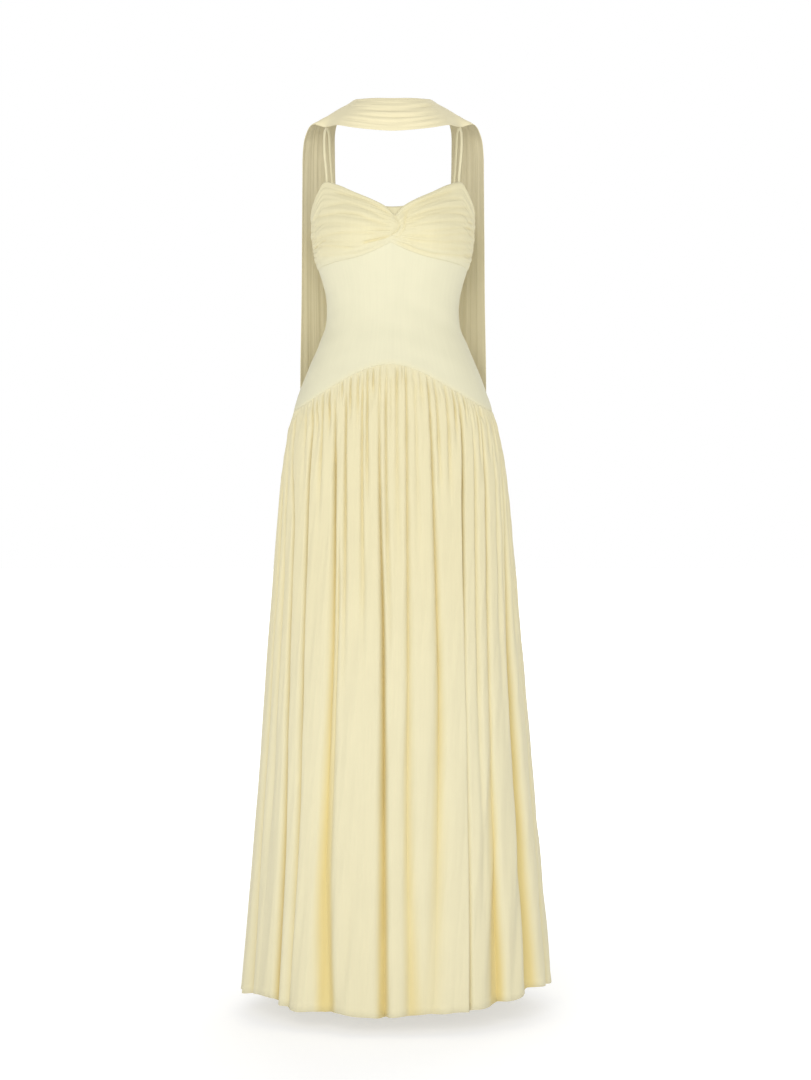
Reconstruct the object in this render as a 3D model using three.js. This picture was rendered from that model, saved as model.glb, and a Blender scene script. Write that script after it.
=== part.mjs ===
// A full-length gown in thin stretch jersey, standing out as it does when worn: a fitted bodice with a twisted bust
// drape, two thin shoulder straps, a gathered skirt hung from an arched seam at the hips, and a scarf that
// crosses the front of the neck and falls behind both shoulders.
//
// Millimetres, +Z up, the front faces -Y. The origin lies midway between the tops of the two straps.
import * as THREE from "three";

// ---- Cloth and seams -------------------------------------------------------------------------------------
const CLOTH = 1.4; // wall of one layer of cloth
const SEAM_GAP = 0.3; // space kept between two pieces that are sewn together
const DRAPE_LIFT = 0.6; // space between the bodice and the inside of the drape that lies on it

// ---- The body of the gown --------------------------------------------------------------------------------
const HEM_Z = -1497; // at the centre front and back
const HEM_RISE = 14; // how far it rises to the sides
const HEM_SWING = 2; // and how much it rises and falls from fold to fold
const HEM_LEAN = 7; // how far the hem hangs to the wearer's left
const HIP_SEAM_Z = -491; // the skirt seam at the side seams
const FRONT_ARCH = 74; // how far the skirt seam rises from there to the centre front
const BACK_ARCH = 34; // and to the centre back
const ARCH_POWER = 3; // how quickly it falls away to the sides
const SEAM_POINTS = 60; // points along the foot of each bodice half, so that it follows the arch
const TORSO_SQUARE = 2.15; // exponent of the sections' rounded oval: 2 is an ellipse

// Half width and front and back depths of the gown at each height, between the ridges and furrows of its folds.
const SECTIONS = [
  { z: -90, side: 141, front: 79, back: 76 },
  { z: -120, side: 142, front: 91, back: 82 },
  { z: -150, side: 142.5, front: 100, back: 86 },
  { z: -185, side: 142, front: 104, back: 88 },
  { z: -219, side: 137.5, front: 101, back: 86 },
  { z: -247, side: 129.6, front: 95, back: 84 },
  { z: -271, side: 121.5, front: 90, back: 82 },
  { z: -297, side: 115.5, front: 86, back: 80 },
  { z: -322, side: 114, front: 84, back: 80 },
  { z: -345, side: 116, front: 85, back: 85 },
  { z: -381, side: 129.6, front: 91, back: 96 },
  { z: -433, side: 151.5, front: 100, back: 114 },
  { z: -491, side: 171.5, front: 110, back: 128 },
  { z: -543, side: 182, front: 121, back: 139 },
  { z: -612, side: 193, front: 134, back: 151 },
  { z: -717, side: 204, front: 152, back: 167 },
  { z: -891, side: 217.5, front: 175, back: 188 },
  { z: -1100, side: 232.5, front: 198, back: 209 },
  { z: -1308, side: 248.5, front: 217, back: 227 },
  { z: -1500, side: 265, front: 233, back: 243 },
];

// The two cups of the front bodice.
const CUP = { x: 64, z: -186, width: 44, height: 50, depth: 17 };

// ---- Edges of the bodice and its drape: height at each angle from the centre front -------------------------
const STRAP_ANGLE = 55; // where the neckline peaks and the strap leaves it
const NECKLINE = [
  { angle: 0, z: -152 },
  { angle: 6.5, z: -151 },
  { angle: 15, z: -140 },
  { angle: 27, z: -126 },
  { angle: 42, z: -110 },
  { angle: STRAP_ANGLE, z: -102.5 },
  { angle: 63, z: -117 },
  { angle: 71, z: -134 },
  { angle: 81, z: -152 },
  { angle: 90, z: -158 },
];
const DRAPE_TOP = [
  { angle: 0, z: -170 },
  { angle: 3, z: -162 },
  { angle: 6.5, z: -152.5 },
  { angle: 15, z: -141 },
  { angle: 27, z: -127 },
  { angle: 42, z: -111 },
  { angle: STRAP_ANGLE, z: -103.5 },
  { angle: 63, z: -118 },
  { angle: 71, z: -135 },
  { angle: 81, z: -153 },
  { angle: 90, z: -159 },
];
const DRAPE_FOOT = [
  { angle: 0, z: -211 },
  { angle: 13, z: -224 },
  { angle: 27, z: -232 },
  { angle: 48, z: -240 },
  { angle: 77, z: -247 },
  { angle: 90, z: -249 },
];
const BACK_NECK_Z = -163; // the back's top edge at the centre
const SIDE_NECK_Z = -158; // and at the side seams

// Where the two halves of the drape meet in the twist: down its height, as a share, and to the wearer's left.
const TWIST_LINE = [
  { share: 0, x: 1.5 },
  { share: 0.2, x: 8 },
  { share: 0.38, x: 12 },
  { share: 0.58, x: 7 },
  { share: 0.72, x: -1 },
  { share: 0.86, x: -8.5 },
  { share: 1, x: -7 },
];
const DRAPE_FOLDS = 7; // soft folds from the twist to each side seam
const DRAPE_FOLD_HEIGHT = 2.4;
const TWIST_PUFF = 6; // how far the rolled cloth of the twist stands above the folds
const TWIST_REACH = 0.13; // how far it runs out along the drape, as a share of its length

// ---- The skirt's folds ------------------------------------------------------------------------------------
// Each row is a furrow and the ridge after it, going round from the wearer's right side: the furrow's angle at
// the seam and at the hem, how many gathers the ridge holds at the seam, and how high it stands at the hem.
// Both halves have ridges of the same height next to the side seams.
const FRONT_FOLDS = [
  { seam: -90, hem: -90, gathers: 2, ridge: 20 },
  { seam: -81, hem: -69, gathers: 1, ridge: 25 },
  { seam: -73, hem: -47, gathers: 3, ridge: 13 },
  { seam: -54, hem: -38.5, gathers: 3, ridge: 22 },
  { seam: -35, hem: -23, gathers: 4, ridge: 27 },
  { seam: -8.5, hem: -3, gathers: 3, ridge: 14 },
  { seam: 8, hem: 5, gathers: 2, ridge: 15 },
  { seam: 20, hem: 15, gathers: 3, ridge: 20 },
  { seam: 38, hem: 29, gathers: 3, ridge: 17 },
  { seam: 56, hem: 39.5, gathers: 3, ridge: 25 },
  { seam: 78, hem: 60, gathers: 2, ridge: 20 },
  { seam: 90, hem: 90 },
];
const BACK_FOLDS = [
  { seam: 90, hem: 90, gathers: 2, ridge: 20 },
  { seam: 100, hem: 106, gathers: 3, ridge: 24 },
  { seam: 116, hem: 123, gathers: 2, ridge: 17 },
  { seam: 129, hem: 137, gathers: 3, ridge: 23 },
  { seam: 146, hem: 152, gathers: 3, ridge: 19 },
  { seam: 163, hem: 167, gathers: 2, ridge: 25 },
  { seam: 178, hem: 183, gathers: 3, ridge: 18 },
  { seam: 195, hem: 198, gathers: 2, ridge: 24 },
  { seam: 210, hem: 214, gathers: 3, ridge: 20 },
  { seam: 226, hem: 229, gathers: 3, ridge: 25 },
  { seam: 243, hem: 244, gathers: 2, ridge: 19 },
  { seam: 256, hem: 257, gathers: 2, ridge: 20 },
  { seam: 270, hem: 270 },
];
const FOLD_FAN = 0.75; // folds near the sides turn outwards most just under the seam
const GATHER_HEIGHT = 5.5;
const MEAN_RIDGE = 0.62; // the mean height of a ridge, as a share of its top
const FURROW_WIDTH = 0.12; // how softly a furrow is rounded

// Rows of points down the skirt, as shares of its length: the upper rows have points on every gather.
const GATHER_ROWS = [0, 0.012, 0.035, 0.075, 0.13, 0.2];
const SKIRT_ROWS = [0.3, 0.44, 0.62, 0.81, 1];
const POINTS_PER_GATHER = 4;
const POINTS_PER_RIDGE = 7;

// ---- Straps and scarf -------------------------------------------------------------------------------------
const STRAP = { width: 4, sides: 8, steps: 40, tuck: 7 };
// Where each strap passes inside an edge of the bodice: its angle from the centre front and the edge's height.
const STRAP_ENDS = { front: { angle: STRAP_ANGLE, edge: -102.5 }, back: { angle: 128, edge: -161.5 } };
// The left strap between the front's peak and the back's top edge.
const STRAP_ROUTE = [
  [120, -37, -46],
  [119.5, -20, -14],
  [117, -2, -0.9],
  [114, 18, -10],
  [111, 36, -42],
  [107, 49, -100],
];

// The left half of the scarf: its inner edge (the upper one at the neck), middle and outer edge, from the centre
// front over the shoulder and down behind it to the end of the tail.
const SCARF = [
  { inner: [0, -62, 40], middle: [0, -81, 11], outer: [0, -92, -21] },
  { inner: [30, -58, 41], middle: [35, -78, 12], outer: [38, -88, -18] },
  { inner: [54, -40, 43], middle: [62, -63, 16], outer: [70, -74, -12] },
  { inner: [68, -12, 46], middle: [82, -37, 22], outer: [97, -46, -3] },
  { inner: [78, 16, 41], middle: [100, -4, 27], outer: [118, -2, 0.8] },
  { inner: [88, 38, 26], middle: [116, 24, 21], outer: [141, 10, 8] },
  { inner: [96, 53, 2], middle: [127, 46, 3], outer: [154, 31, -9] },
  { inner: [101, 63, -34], middle: [131, 58, -34], outer: [159, 42, -38] },
  { inner: [101, 69, -90], middle: [132, 64, -90], outer: [160, 49, -90] },
  { inner: [98, 77, -180], middle: [130, 71, -180], outer: [161, 55, -180] },
  { inner: [95, 84, -300], middle: [129, 77, -300], outer: [162, 60, -300] },
  { inner: [92, 95, -400], middle: [128, 85, -400], outer: [164, 65, -400] },
  { inner: [88, 120, -480], middle: [127, 102, -480], outer: [165, 74, -480] },
  { inner: [84, 140, -560], middle: [126, 120, -560], outer: [166, 87, -560] },
  { inner: [80, 165, -700], middle: [125, 145, -700], outer: [168, 110, -700] },
  { inner: [76, 187, -860], middle: [124, 166, -860], outer: [170, 131, -860] },
];
const SCARF_FOLDS = 4; // soft folds along the scarf
const SCARF_FOLD_HEIGHT = 3.6;
const SCARF_STEPS = 64; // rows of points along it, closest together at the shoulders

// ---- Colours ------------------------------------------------------------------------------------------------
const BUTTER = new THREE.Color(0.93, 0.89, 0.68);

// ---- Small helpers --------------------------------------------------------------------------------------------
const radians = THREE.MathUtils.degToRad;
const lerp = THREE.MathUtils.lerp;
const clamp = THREE.MathUtils.clamp;
const smooth = (x, low, high) => THREE.MathUtils.smoothstep(x, low, high);

/** The value of one column of a table at x, on a smooth curve through its rows; rows run up or down in x. */
function along(table, at, column, x) {
  const rows = table[0][at] < table.at(-1)[at] ? table : table.toReversed();
  const last = rows.length - 1;
  const i = clamp(rows.findLastIndex((row) => row[at] <= x), 0, last - 1);
  const slope = (a, b) => (rows[b][column] - rows[a][column]) / (rows[b][at] - rows[a][at]);
  const span = rows[i + 1][at] - rows[i][at];
  const share = clamp((x - rows[i][at]) / span, 0, 1);
  const here = slope(i, i + 1);
  const tangent = (before, after) => (before * after <= 0 ? 0 : (2 * before * after) / (before + after));
  const start = i === 0 ? here : tangent(slope(i - 1, i), here);
  const end = i + 1 === last ? here : tangent(here, slope(i + 1, i + 2));
  const h = share * share * (3 - 2 * share);
  const ease = share * (1 - share);
  return lerp(rows[i][column], rows[i + 1][column], h) + span * ease * (start * (1 - share) - end * share);
}

/** Height of the skirt seam at an angle from the centre front. */
function seamHeight(angle) {
  const facing = Math.cos(radians(angle));
  return HIP_SEAM_Z + (facing > 0 ? FRONT_ARCH : BACK_ARCH) * Math.abs(facing) ** ARCH_POWER;
}

/** A point of the gown's smooth form: angle 0 is the centre front, 90 the wearer's left side seam. */
function bodyPoint(angle, z) {
  const [across, forward] = [Math.sin(radians(angle)), Math.cos(radians(angle))];
  const square = lerp(TORSO_SQUARE, 2, smooth(-z, 433, 717));
  const round = (Math.abs(across) ** square + Math.abs(forward) ** square) ** (1 / square);
  const depth = along(SECTIONS, "z", forward > 0 ? "front" : "back", z);
  const x = (along(SECTIONS, "z", "side", z) * across) / round;
  const cup = (side) => Math.exp(-(((x - side * CUP.x) / CUP.width) ** 2) - ((z - CUP.z) / CUP.height) ** 2);
  const bust = forward > 0 ? CUP.depth * (cup(-1) + cup(1)) * smooth(forward, 0, 0.35) : 0;
  return new THREE.Vector3(x, (-depth * forward) / round - bust, z);
}

/** The outward normal of a surface given by a function of two shares. */
function normalOf(surface, u, v) {
  const step = 0.004;
  const [ua, ub] = [Math.max(u - step, 0), Math.min(u + step, 1)];
  const [va, vb] = [Math.max(v - step, 0), Math.min(v + step, 1)];
  const across = surface(ub, v).sub(surface(ua, v));
  const down = surface(u, vb).sub(surface(u, va));
  return down.cross(across).normalize();
}

/**
 * A closed cloth wall from rows of points. Each row is a list of { u, outer, inner }, and rows may differ in
 * length: neighbouring rows are joined in order of u. Seen from outside, u runs to the right and rows run down.
 */
function clothWall(rows) {
  const positions = [];
  const triangle = (a, b, c) => positions.push(...a.toArray(), ...b.toArray(), ...c.toArray());
  const join = (upper, lower, layer, flip) => {
    let [i, j] = [0, 0];
    while (i < upper.length - 1 || j < lower.length - 1) {
      const nextUpper = i < upper.length - 1 ? upper[i + 1].u : Infinity;
      const nextLower = j < lower.length - 1 ? lower[j + 1].u : Infinity;
      const corners = [upper[i][layer], lower[j][layer]];
      corners.push(nextUpper < nextLower ? upper[++i][layer] : lower[++j][layer]);
      triangle(...(flip ? corners.toReversed() : corners));
    }
  };
  const rim = (points) => {
    for (let i = 0; i + 1 < points.length; i++) {
      triangle(points[i].outer, points[i + 1].outer, points[i].inner);
      triangle(points[i + 1].outer, points[i + 1].inner, points[i].inner);
    }
  };
  for (let r = 0; r + 1 < rows.length; r++) {
    join(rows[r], rows[r + 1], "outer", false);
    join(rows[r], rows[r + 1], "inner", true);
  }
  rim(rows[0]);
  rim(rows.at(-1).toReversed());
  rim(rows.map((row) => row[0]).toReversed());
  rim(rows.map((row) => row.at(-1)));
  return new THREE.BufferGeometry().setAttribute("position", new THREE.Float32BufferAttribute(positions, 3));
}

/**
 * A wall of even thickness round a surface, from rows of { down, across }: shares down and across it. With
 * sideSeams, the edges at its sides are square to the front, as the other half of the gown meets them there.
 */
function sheetWall(surface, rows, sideSeams = false) {
  const point = (u, v) => {
    const [middle, normal] = [surface(u, v), normalOf(surface, u, v)];
    if (sideSeams && (u === 0 || u === 1)) normal.setY(0).normalize();
    return {
      u,
      outer: middle.clone().addScaledVector(normal, CLOTH / 2),
      inner: middle.clone().addScaledVector(normal, -CLOTH / 2),
    };
  };
  return clothWall(rows.map(({ down, across }) => across.map((u) => point(u, down))));
}

/** The same shares across on every row down. */
const grid = (across, downs) => downs.map((down) => ({ down, across }));

/** Evenly spaced shares from 0 to 1. */
const shares = (count) => Array.from({ length: count + 1 }, (_, i) => i / count);

function piece(name, geometry, color) {
  geometry.computeVertexNormals();
  const cloth = new THREE.MeshStandardMaterial({ color, roughness: 0.85, metalness: 0 });
  const mesh = new THREE.Mesh(geometry, cloth);
  mesh.name = name;
  return mesh;
}

// ---- Bodice -------------------------------------------------------------------------------------------------
/** The front bodice: fitted from the sweetheart neckline to the arched seam. */
function frontBodice() {
  const angles = [...NECKLINE.slice(1).map((row) => row.angle), 20, 34, 48, 59];
  const right = angles.sort((a, b) => a - b).map((angle) => 0.5 + angle / 180);
  const across = [...right.map((u) => 1 - u).toReversed(), 0.5, ...right];
  const surface = (u, v) => {
    const angle = lerp(-90, 90, u);
    const top = along(NECKLINE, "angle", "z", Math.abs(angle));
    const place = bodyPoint(angle, lerp(top, seamHeight(angle), v));
    place.y -= SEAM_GAP / 2;
    return place;
  };
  const downs = [0, 0.06, 0.12, 0.18, 0.25, 0.32, 0.4, 0.49, 0.58, 0.68, 0.79, 0.9];
  return sheetWall(surface, [...grid(across, downs), ...grid(shares(SEAM_POINTS), [0.97, 1])], true);
}

/** The back bodice: its straight top edge dips a little between the side seams. */
function backBodice() {
  const surface = (u, v) => {
    const angle = lerp(90, 270, u);
    const top = lerp(SIDE_NECK_Z, BACK_NECK_Z, Math.sin(Math.PI * u));
    const place = bodyPoint(angle, lerp(top, seamHeight(angle), v));
    place.y += SEAM_GAP / 2;
    return place;
  };
  const downs = [0, 0.14, 0.28, 0.42, 0.56, 0.7, 0.85];
  return sheetWall(surface, [...grid(shares(18), downs), ...grid(shares(SEAM_POINTS), [0.96, 1])], true);
}

/** One half of the bust drape, gathered into the side seam and rolled into the twist. side is -1 or 1. */
function bustDrape(side) {
  const onBodice = (u, v) => {
    const plain = 90 * (1 - u);
    const z = lerp(along(DRAPE_TOP, "angle", "z", plain), along(DRAPE_FOOT, "angle", "z", plain), v);
    const meeting = along(TWIST_LINE, "share", "x", v) + side * SEAM_GAP;
    const shift = (meeting / along(SECTIONS, "z", "side", z)) * (180 / Math.PI);
    const place = bodyPoint(side * plain + shift * u ** 5, z);
    place.y -= SEAM_GAP;
    return place;
  };
  const lay = side < 0 ? onBodice : (u, v) => onBodice(1 - u, v);
  const relief = (u, v) => {
    const fan = v + 0.045 * Math.sin(Math.PI * v) * Math.cos(3 * Math.PI * u);
    const fold = Math.abs(Math.sin(Math.PI * DRAPE_FOLDS * fan)) * DRAPE_FOLD_HEIGHT;
    const edges = smooth(Math.min(v, 1 - v), 0, 0.05);
    const inward = 1 - u;
    const puff = TWIST_PUFF * Math.exp(-((inward / TWIST_REACH) ** 2)) * Math.sin(Math.PI * v) ** 0.6;
    return CLOTH + edges * (fold + puff) * lerp(0.35, 1, smooth(inward, 0, 0.05));
  };
  const bodiceOut = CLOTH / 2 + DRAPE_LIFT;
  const point = (u, v) => {
    const [base, normal] = [lay(u, v), normalOf(lay, u, v)];
    const height = relief(side < 0 ? u : 1 - u, v);
    return {
      u,
      outer: base.clone().addScaledVector(normal, bodiceOut + height),
      inner: base.clone().addScaledVector(normal, bodiceOut),
    };
  };
  const across = [0, 0.07, 0.15, 0.24, 0.33, 0.42, 0.51, 0.6, 0.69, 0.77, 0.84, 0.9, 0.95, 0.985, 1];
  const ordered = side < 0 ? across : across.map((u) => 1 - u).toReversed();
  return clothWall(shares(DRAPE_FOLDS * 2).map((v) => ordered.map((u) => point(u, v))));
}

// ---- Skirt ----------------------------------------------------------------------------------------------------
/** How high a rounded ridge stands at a share of its width, from 0 in the furrows to 1 on top. */
function ridgeShape(share) {
  const wave = Math.sin(Math.PI * share);
  return (Math.hypot(wave, FURROW_WIDTH) - FURROW_WIDTH) / (Math.hypot(1, FURROW_WIDTH) - FURROW_WIDTH);
}

/** A point of the skirt: ridge number fold, share q across it, share down its length. */
function skirtPoint(folds, fold, q, down) {
  const [here, next] = [folds[fold], folds[fold + 1]];
  const angle = lerp(lerp(here.seam, next.seam, q), lerp(here.hem, next.hem, q), down ** FOLD_FAN);
  const hem = HEM_Z + HEM_RISE * Math.sin(radians(angle)) ** 2 + HEM_SWING * Math.cos(radians(9 * angle + 207));
  const middle = bodyPoint(angle, lerp(seamHeight(angle) - SEAM_GAP * 2, hem, down));
  const outward = new THREE.Vector3(middle.x, middle.y, 0).normalize();
  middle.x += HEM_LEAN * down ** 0.7;
  const main = here.ridge * (0.15 * smooth(down, 0, 0.05) + 0.85 * down ** 0.8);
  const gather = GATHER_HEIGHT * smooth(down, -0.008, 0.025) * (1 - smooth(down, 0.06, 0.32));
  const height = main * (ridgeShape(q) - MEAN_RIDGE) + gather * (ridgeShape(q * here.gathers) - MEAN_RIDGE);
  return middle.addScaledVector(outward, height);
}

/** Half of the skirt, front or back; toSide is the way that its seam edges stand back from the other half. */
function skirtPanel(folds, toSide) {
  const last = folds.length - 1;
  const surface = (u, v) => {
    const fold = Math.min(Math.floor(u * last), last - 1);
    const place = skirtPoint(folds, fold, clamp(u * last - fold, 0, 1), v);
    place.y += (toSide * SEAM_GAP) / 2;
    return place;
  };
  const columns = (pointsIn) => {
    const within = folds.slice(0, -1).flatMap((row, fold) => {
      const count = pointsIn(row);
      return Array.from({ length: count }, (_, i) => (fold + i / count) / last);
    });
    return [...within, 1];
  };
  const gathered = columns((row) => row.gathers * POINTS_PER_GATHER);
  const plain = columns(() => POINTS_PER_RIDGE);
  return sheetWall(surface, [...grid(gathered, GATHER_ROWS), ...grid(plain, SKIRT_ROWS)], true);
}

// ---- Straps ----------------------------------------------------------------------------------------------------
/** A narrow roll of cloth from inside the neckline's peak, over the shoulder, to inside the back's top edge. */
function strap(side) {
  const tucked = (angle, z) => {
    const torso = (u, v) => bodyPoint(angle + 10 * (u - 0.5), z - 20 * (v - 0.5));
    const depth = CLOTH / 2 + SEAM_GAP * 3 + STRAP.width / 2;
    return torso(0.5, 0.5).addScaledVector(normalOf(torso, 0.5, 0.5), -depth);
  };
  const end = ({ angle, edge }) => [tucked(side * angle, edge + STRAP.tuck), tucked(side * angle, edge - STRAP.tuck)];
  const over = STRAP_ROUTE.map(([x, y, z]) => new THREE.Vector3(side * x, y, z));
  const points = [...end(STRAP_ENDS.front).toReversed(), ...over, ...end(STRAP_ENDS.back)];
  const route = new THREE.CatmullRomCurve3(points, false, "centripetal");
  const section = new THREE.Shape().absarc(0, 0, STRAP.width / 2, 0, 2 * Math.PI);
  const outline = new THREE.Shape(section.getPoints(STRAP.sides / 2).slice(0, STRAP.sides));
  return new THREE.ExtrudeGeometry(outline, { steps: STRAP.steps, extrudePath: route, bevelEnabled: false });
}

// ---- Scarf -----------------------------------------------------------------------------------------------------
/** The whole scarf: across the front of the neck, over both shoulders and down behind them. */
function scarf() {
  const flip = ([x, y, z]) => [-x, y, z];
  const rightHalf = SCARF.slice(1).map((row) => ({
    inner: flip(row.inner),
    middle: flip(row.middle),
    outer: flip(row.outer),
  }));
  const rows = [...rightHalf.toReversed(), ...SCARF];
  const [inner, middle, outer] = ["inner", "middle", "outer"].map((column) => {
    const points = rows.map((row) => new THREE.Vector3(...row[column]));
    return new THREE.CatmullRomCurve3(points, false, "catmullrom", 0.5);
  });
  const plain = (u, v) => {
    const place = inner.getPoint(u).multiplyScalar((1 - v) * (1 - 2 * v));
    place.addScaledVector(middle.getPoint(u), 4 * v * (1 - v));
    return place.addScaledVector(outer.getPoint(u), v * (2 * v - 1));
  };
  const surface = (u, v) => {
    const height = SCARF_FOLD_HEIGHT * (ridgeShape(v * SCARF_FOLDS) - MEAN_RIDGE);
    return plain(u, v).addScaledVector(normalOf(plain, u, v), height * smooth(Math.min(v, 1 - v), 0, 0.08));
  };
  return sheetWall(surface, grid(shares(SCARF_STEPS), shares(SCARF_FOLDS * 2)));
}

// ---- The gown ------------------------------------------------------------------------------------------------
const gown = new THREE.Group();
gown.add(
  piece("bodice_front", frontBodice(), BUTTER),
  piece("bodice_back", backBodice(), BUTTER),
  piece("bust_drape_right", bustDrape(-1), BUTTER),
  piece("bust_drape_left", bustDrape(1), BUTTER),
  piece("skirt_front", skirtPanel(FRONT_FOLDS, -1), BUTTER),
  piece("skirt_back", skirtPanel(BACK_FOLDS, 1), BUTTER),
  piece("strap_right", strap(-1), BUTTER),
  piece("strap_left", strap(1), BUTTER),
  piece("scarf", scarf(), BUTTER),
);

export default gown;
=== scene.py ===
"""Full-length jersey gown with a twisted bust drape, thin straps, a gathered skirt and a neck scarf.

Each piece of cloth is a grid laid on the form of the gown, with its folds worked into it, and then given the
thickness of the cloth. Lengths in the tables are millimetres, and angles are degrees round the gown from the
centre front towards the wearer's left. Objects are in metres, with the front of the gown facing -Y.
"""

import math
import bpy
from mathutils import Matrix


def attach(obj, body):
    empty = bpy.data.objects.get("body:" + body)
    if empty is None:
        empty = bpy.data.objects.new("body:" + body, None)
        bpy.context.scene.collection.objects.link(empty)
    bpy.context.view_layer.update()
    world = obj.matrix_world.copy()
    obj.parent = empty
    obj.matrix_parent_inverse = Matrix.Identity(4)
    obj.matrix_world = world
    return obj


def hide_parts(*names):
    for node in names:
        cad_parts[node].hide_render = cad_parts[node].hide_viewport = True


bl_info = {
    "name": "Jersey Gown",
    "version": (1, 0, 0),
    "blender": (4, 5, 0),
    "location": "View3D > Sidebar > Gown",
    "description": "Builds a maxi gown with gathers, a twisted drape and a scarf",
    "category": "Object",
}

from collections import namedtuple

import bmesh
import bpy
import numpy as np
from bpy.props import FloatProperty, FloatVectorProperty, PointerProperty
from mathutils import Vector

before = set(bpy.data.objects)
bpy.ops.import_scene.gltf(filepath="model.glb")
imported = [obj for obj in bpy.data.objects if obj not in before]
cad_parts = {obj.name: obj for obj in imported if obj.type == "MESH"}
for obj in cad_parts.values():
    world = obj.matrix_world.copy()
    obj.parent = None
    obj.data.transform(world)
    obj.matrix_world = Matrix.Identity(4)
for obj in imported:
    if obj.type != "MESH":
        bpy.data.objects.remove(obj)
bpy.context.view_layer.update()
MM = 0.001


def table(kind, rows):
    """A table's rows with names for their values."""
    return tuple(kind(*row) for row in rows)


# ---- The form of the gown ----

HIP_SEAM = -495.0  # height of the skirt seam at the side seams
FRONT_ARCH = 76.0  # how far it rises to the centre front
BACK_ARCH = 34.0  # and to the centre back
ARCH_POWER = 3  # higher for a narrower arch
SEAM_LEAN = 2.0  # how far its highest point lies to the wearer's right
HEM = -1497.0  # height of the hem
HEM_RISE = 14.0  # how far the hem rises to the sides
HEM_SWING = 2.0  # how much it rises and falls besides, in waves round the gown
HEM_WAVES = 9
HEM_PHASE = 207.0
HEM_DROOP = 12.0  # how much lower it hangs at the wearer's right, round this angle
DROOP_ANGLE = -79.0
DROOP_SPREAD = 19.0
HEM_LEAN = 7.0  # how far the hem hangs to the wearer's left
LEAN_POWER = 0.7  # below 1, most of that comes in the upper skirt

Section = namedtuple("Section", "z side front back")
SECTIONS = table(Section, (
    (-90, 138, 79, 76),
    (-120, 139, 91, 82),
    (-150, 139.5, 100, 86),
    (-185, 139, 104, 88),
    (-219, 135.5, 101, 86),
    (-247, 128.8, 95, 84),
    (-271, 121.5, 90, 82),
    (-297, 115.5, 86, 80),
    (-322, 114, 84, 80),
    (-345, 116, 85, 85),
    (-381, 129.6, 91, 96),
    (-433, 151.5, 100, 114),
    (-491, 171.5, 110, 128),
    (-543, 182, 121, 139),
    (-612, 193, 134, 151),
    (-717, 204, 152, 167),
    (-891, 217.5, 175, 188),
    (-1100, 232.5, 198, 209),
    (-1308, 248.5, 217, 227),
    (-1500, 265, 233, 243),
))
BODICE_OVAL = 2.15  # power of the sections' outline: 2 for an ellipse, more for a squarer one
SKIRT_OVAL = 2.0
OVAL_CHANGE = (433, 717)  # how far down one turns into the other

Cup = namedtuple("Cup", "x z width height depth")
CUP = Cup(64.0, -186.0, 44.0, 50.0, 17.0)
CUP_TURN = 0.35  # the cups fade to the sides where the cosine of the angle falls below this

Edge = namedtuple("Edge", "angle z")
NECKLINE = table(Edge, (
    (0, -152),
    (6.5, -151),
    (15, -140),
    (27, -126),
    (41, -110),
    (53.8, -102.5),
    (62, -117),
    (70.3, -134),
    (81, -152),
    (90, -158),
))
BACK_NECK = -163.0
SIDE_NECK = -158.0


def curve_through(xs, ys):
    """The smooth curve without overshoot through points."""
    xs, ys = np.asarray(xs, float), np.asarray(ys, float)
    rise = np.diff(ys) / np.diff(xs)
    before, after = rise[:-1], rise[1:]
    same = before * after > 0
    inner = np.where(same, 2 * before * after / np.where(same, before + after, 1), 0)
    slope = np.concatenate([rise[:1], inner, rise[-1:]])

    def curve(x):
        x = np.clip(x, xs[0], xs[-1])
        i = np.clip(np.searchsorted(xs, x, side="right") - 1, 0, len(xs) - 2)
        span = xs[i + 1] - xs[i]
        t = (x - xs[i]) / span
        ease = t * (1 - t)
        step = t * t * (3 - 2 * t)
        return ys[i] + (ys[i + 1] - ys[i]) * step + span * ease * (slope[i] * (1 - t) - slope[i + 1] * t)

    return curve


def column_curve(rows, at, column):
    """The smooth curve through one column of a table, as a function of another."""
    rows = sorted(rows, key=lambda row: getattr(row, at))
    return curve_through([getattr(row, at) for row in rows], [getattr(row, column) for row in rows])


SIDE = column_curve(SECTIONS, "z", "side")
FRONT = column_curve(SECTIONS, "z", "front")
BACK = column_curve(SECTIONS, "z", "back")
NECK_HEIGHT = column_curve(NECKLINE, "angle", "z")


def smooth(x, low, high):
    """Rises softly from 0 at low to 1 at high."""
    t = np.clip((np.asarray(x, float) - low) / (high - low), 0, 1)
    return t * t * (3 - 2 * t)


def mix(a, b, share):
    """The value that lies a share of the way from a to b."""
    return a + (b - a) * share


def unit(vectors):
    """Vectors brought to a length of 1."""
    return vectors / np.maximum(np.linalg.norm(vectors, axis=-1, keepdims=True), 1e-12)


def along_line(line):
    """How far each point of a line lies along it."""
    return np.concatenate([[0], np.cumsum(np.linalg.norm(np.diff(line, axis=0), axis=1))])


def surface_normals(points):
    """Outward normals of a grid of points, rows down and columns to the right as seen from outside."""
    return unit(np.cross(np.gradient(points, axis=0), np.gradient(points, axis=1)))


def waves(x, y, seed, count=7):
    """A soft uneven field of about -1 to 1, for small wrinkles; x and y are in its own wavelengths."""
    rng = np.random.default_rng(seed)
    total = np.zeros(np.broadcast(x, y).shape)
    for _ in range(count):
        turn, pitch, phase = rng.uniform(-0.9, 0.9), rng.uniform(0.7, 1.6), rng.uniform(0, 2 * math.pi)
        total += np.sin(2 * math.pi * pitch * (x * math.cos(turn) + y * math.sin(turn)) + phase)
    return total / math.sqrt(count * 2)


def seam_height(angle):
    """Height of the skirt seam."""
    facing = np.cos(np.radians(np.asarray(angle, float) + SEAM_LEAN))
    return HIP_SEAM + np.where(facing > 0, FRONT_ARCH, BACK_ARCH) * np.abs(facing) ** ARCH_POWER


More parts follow.
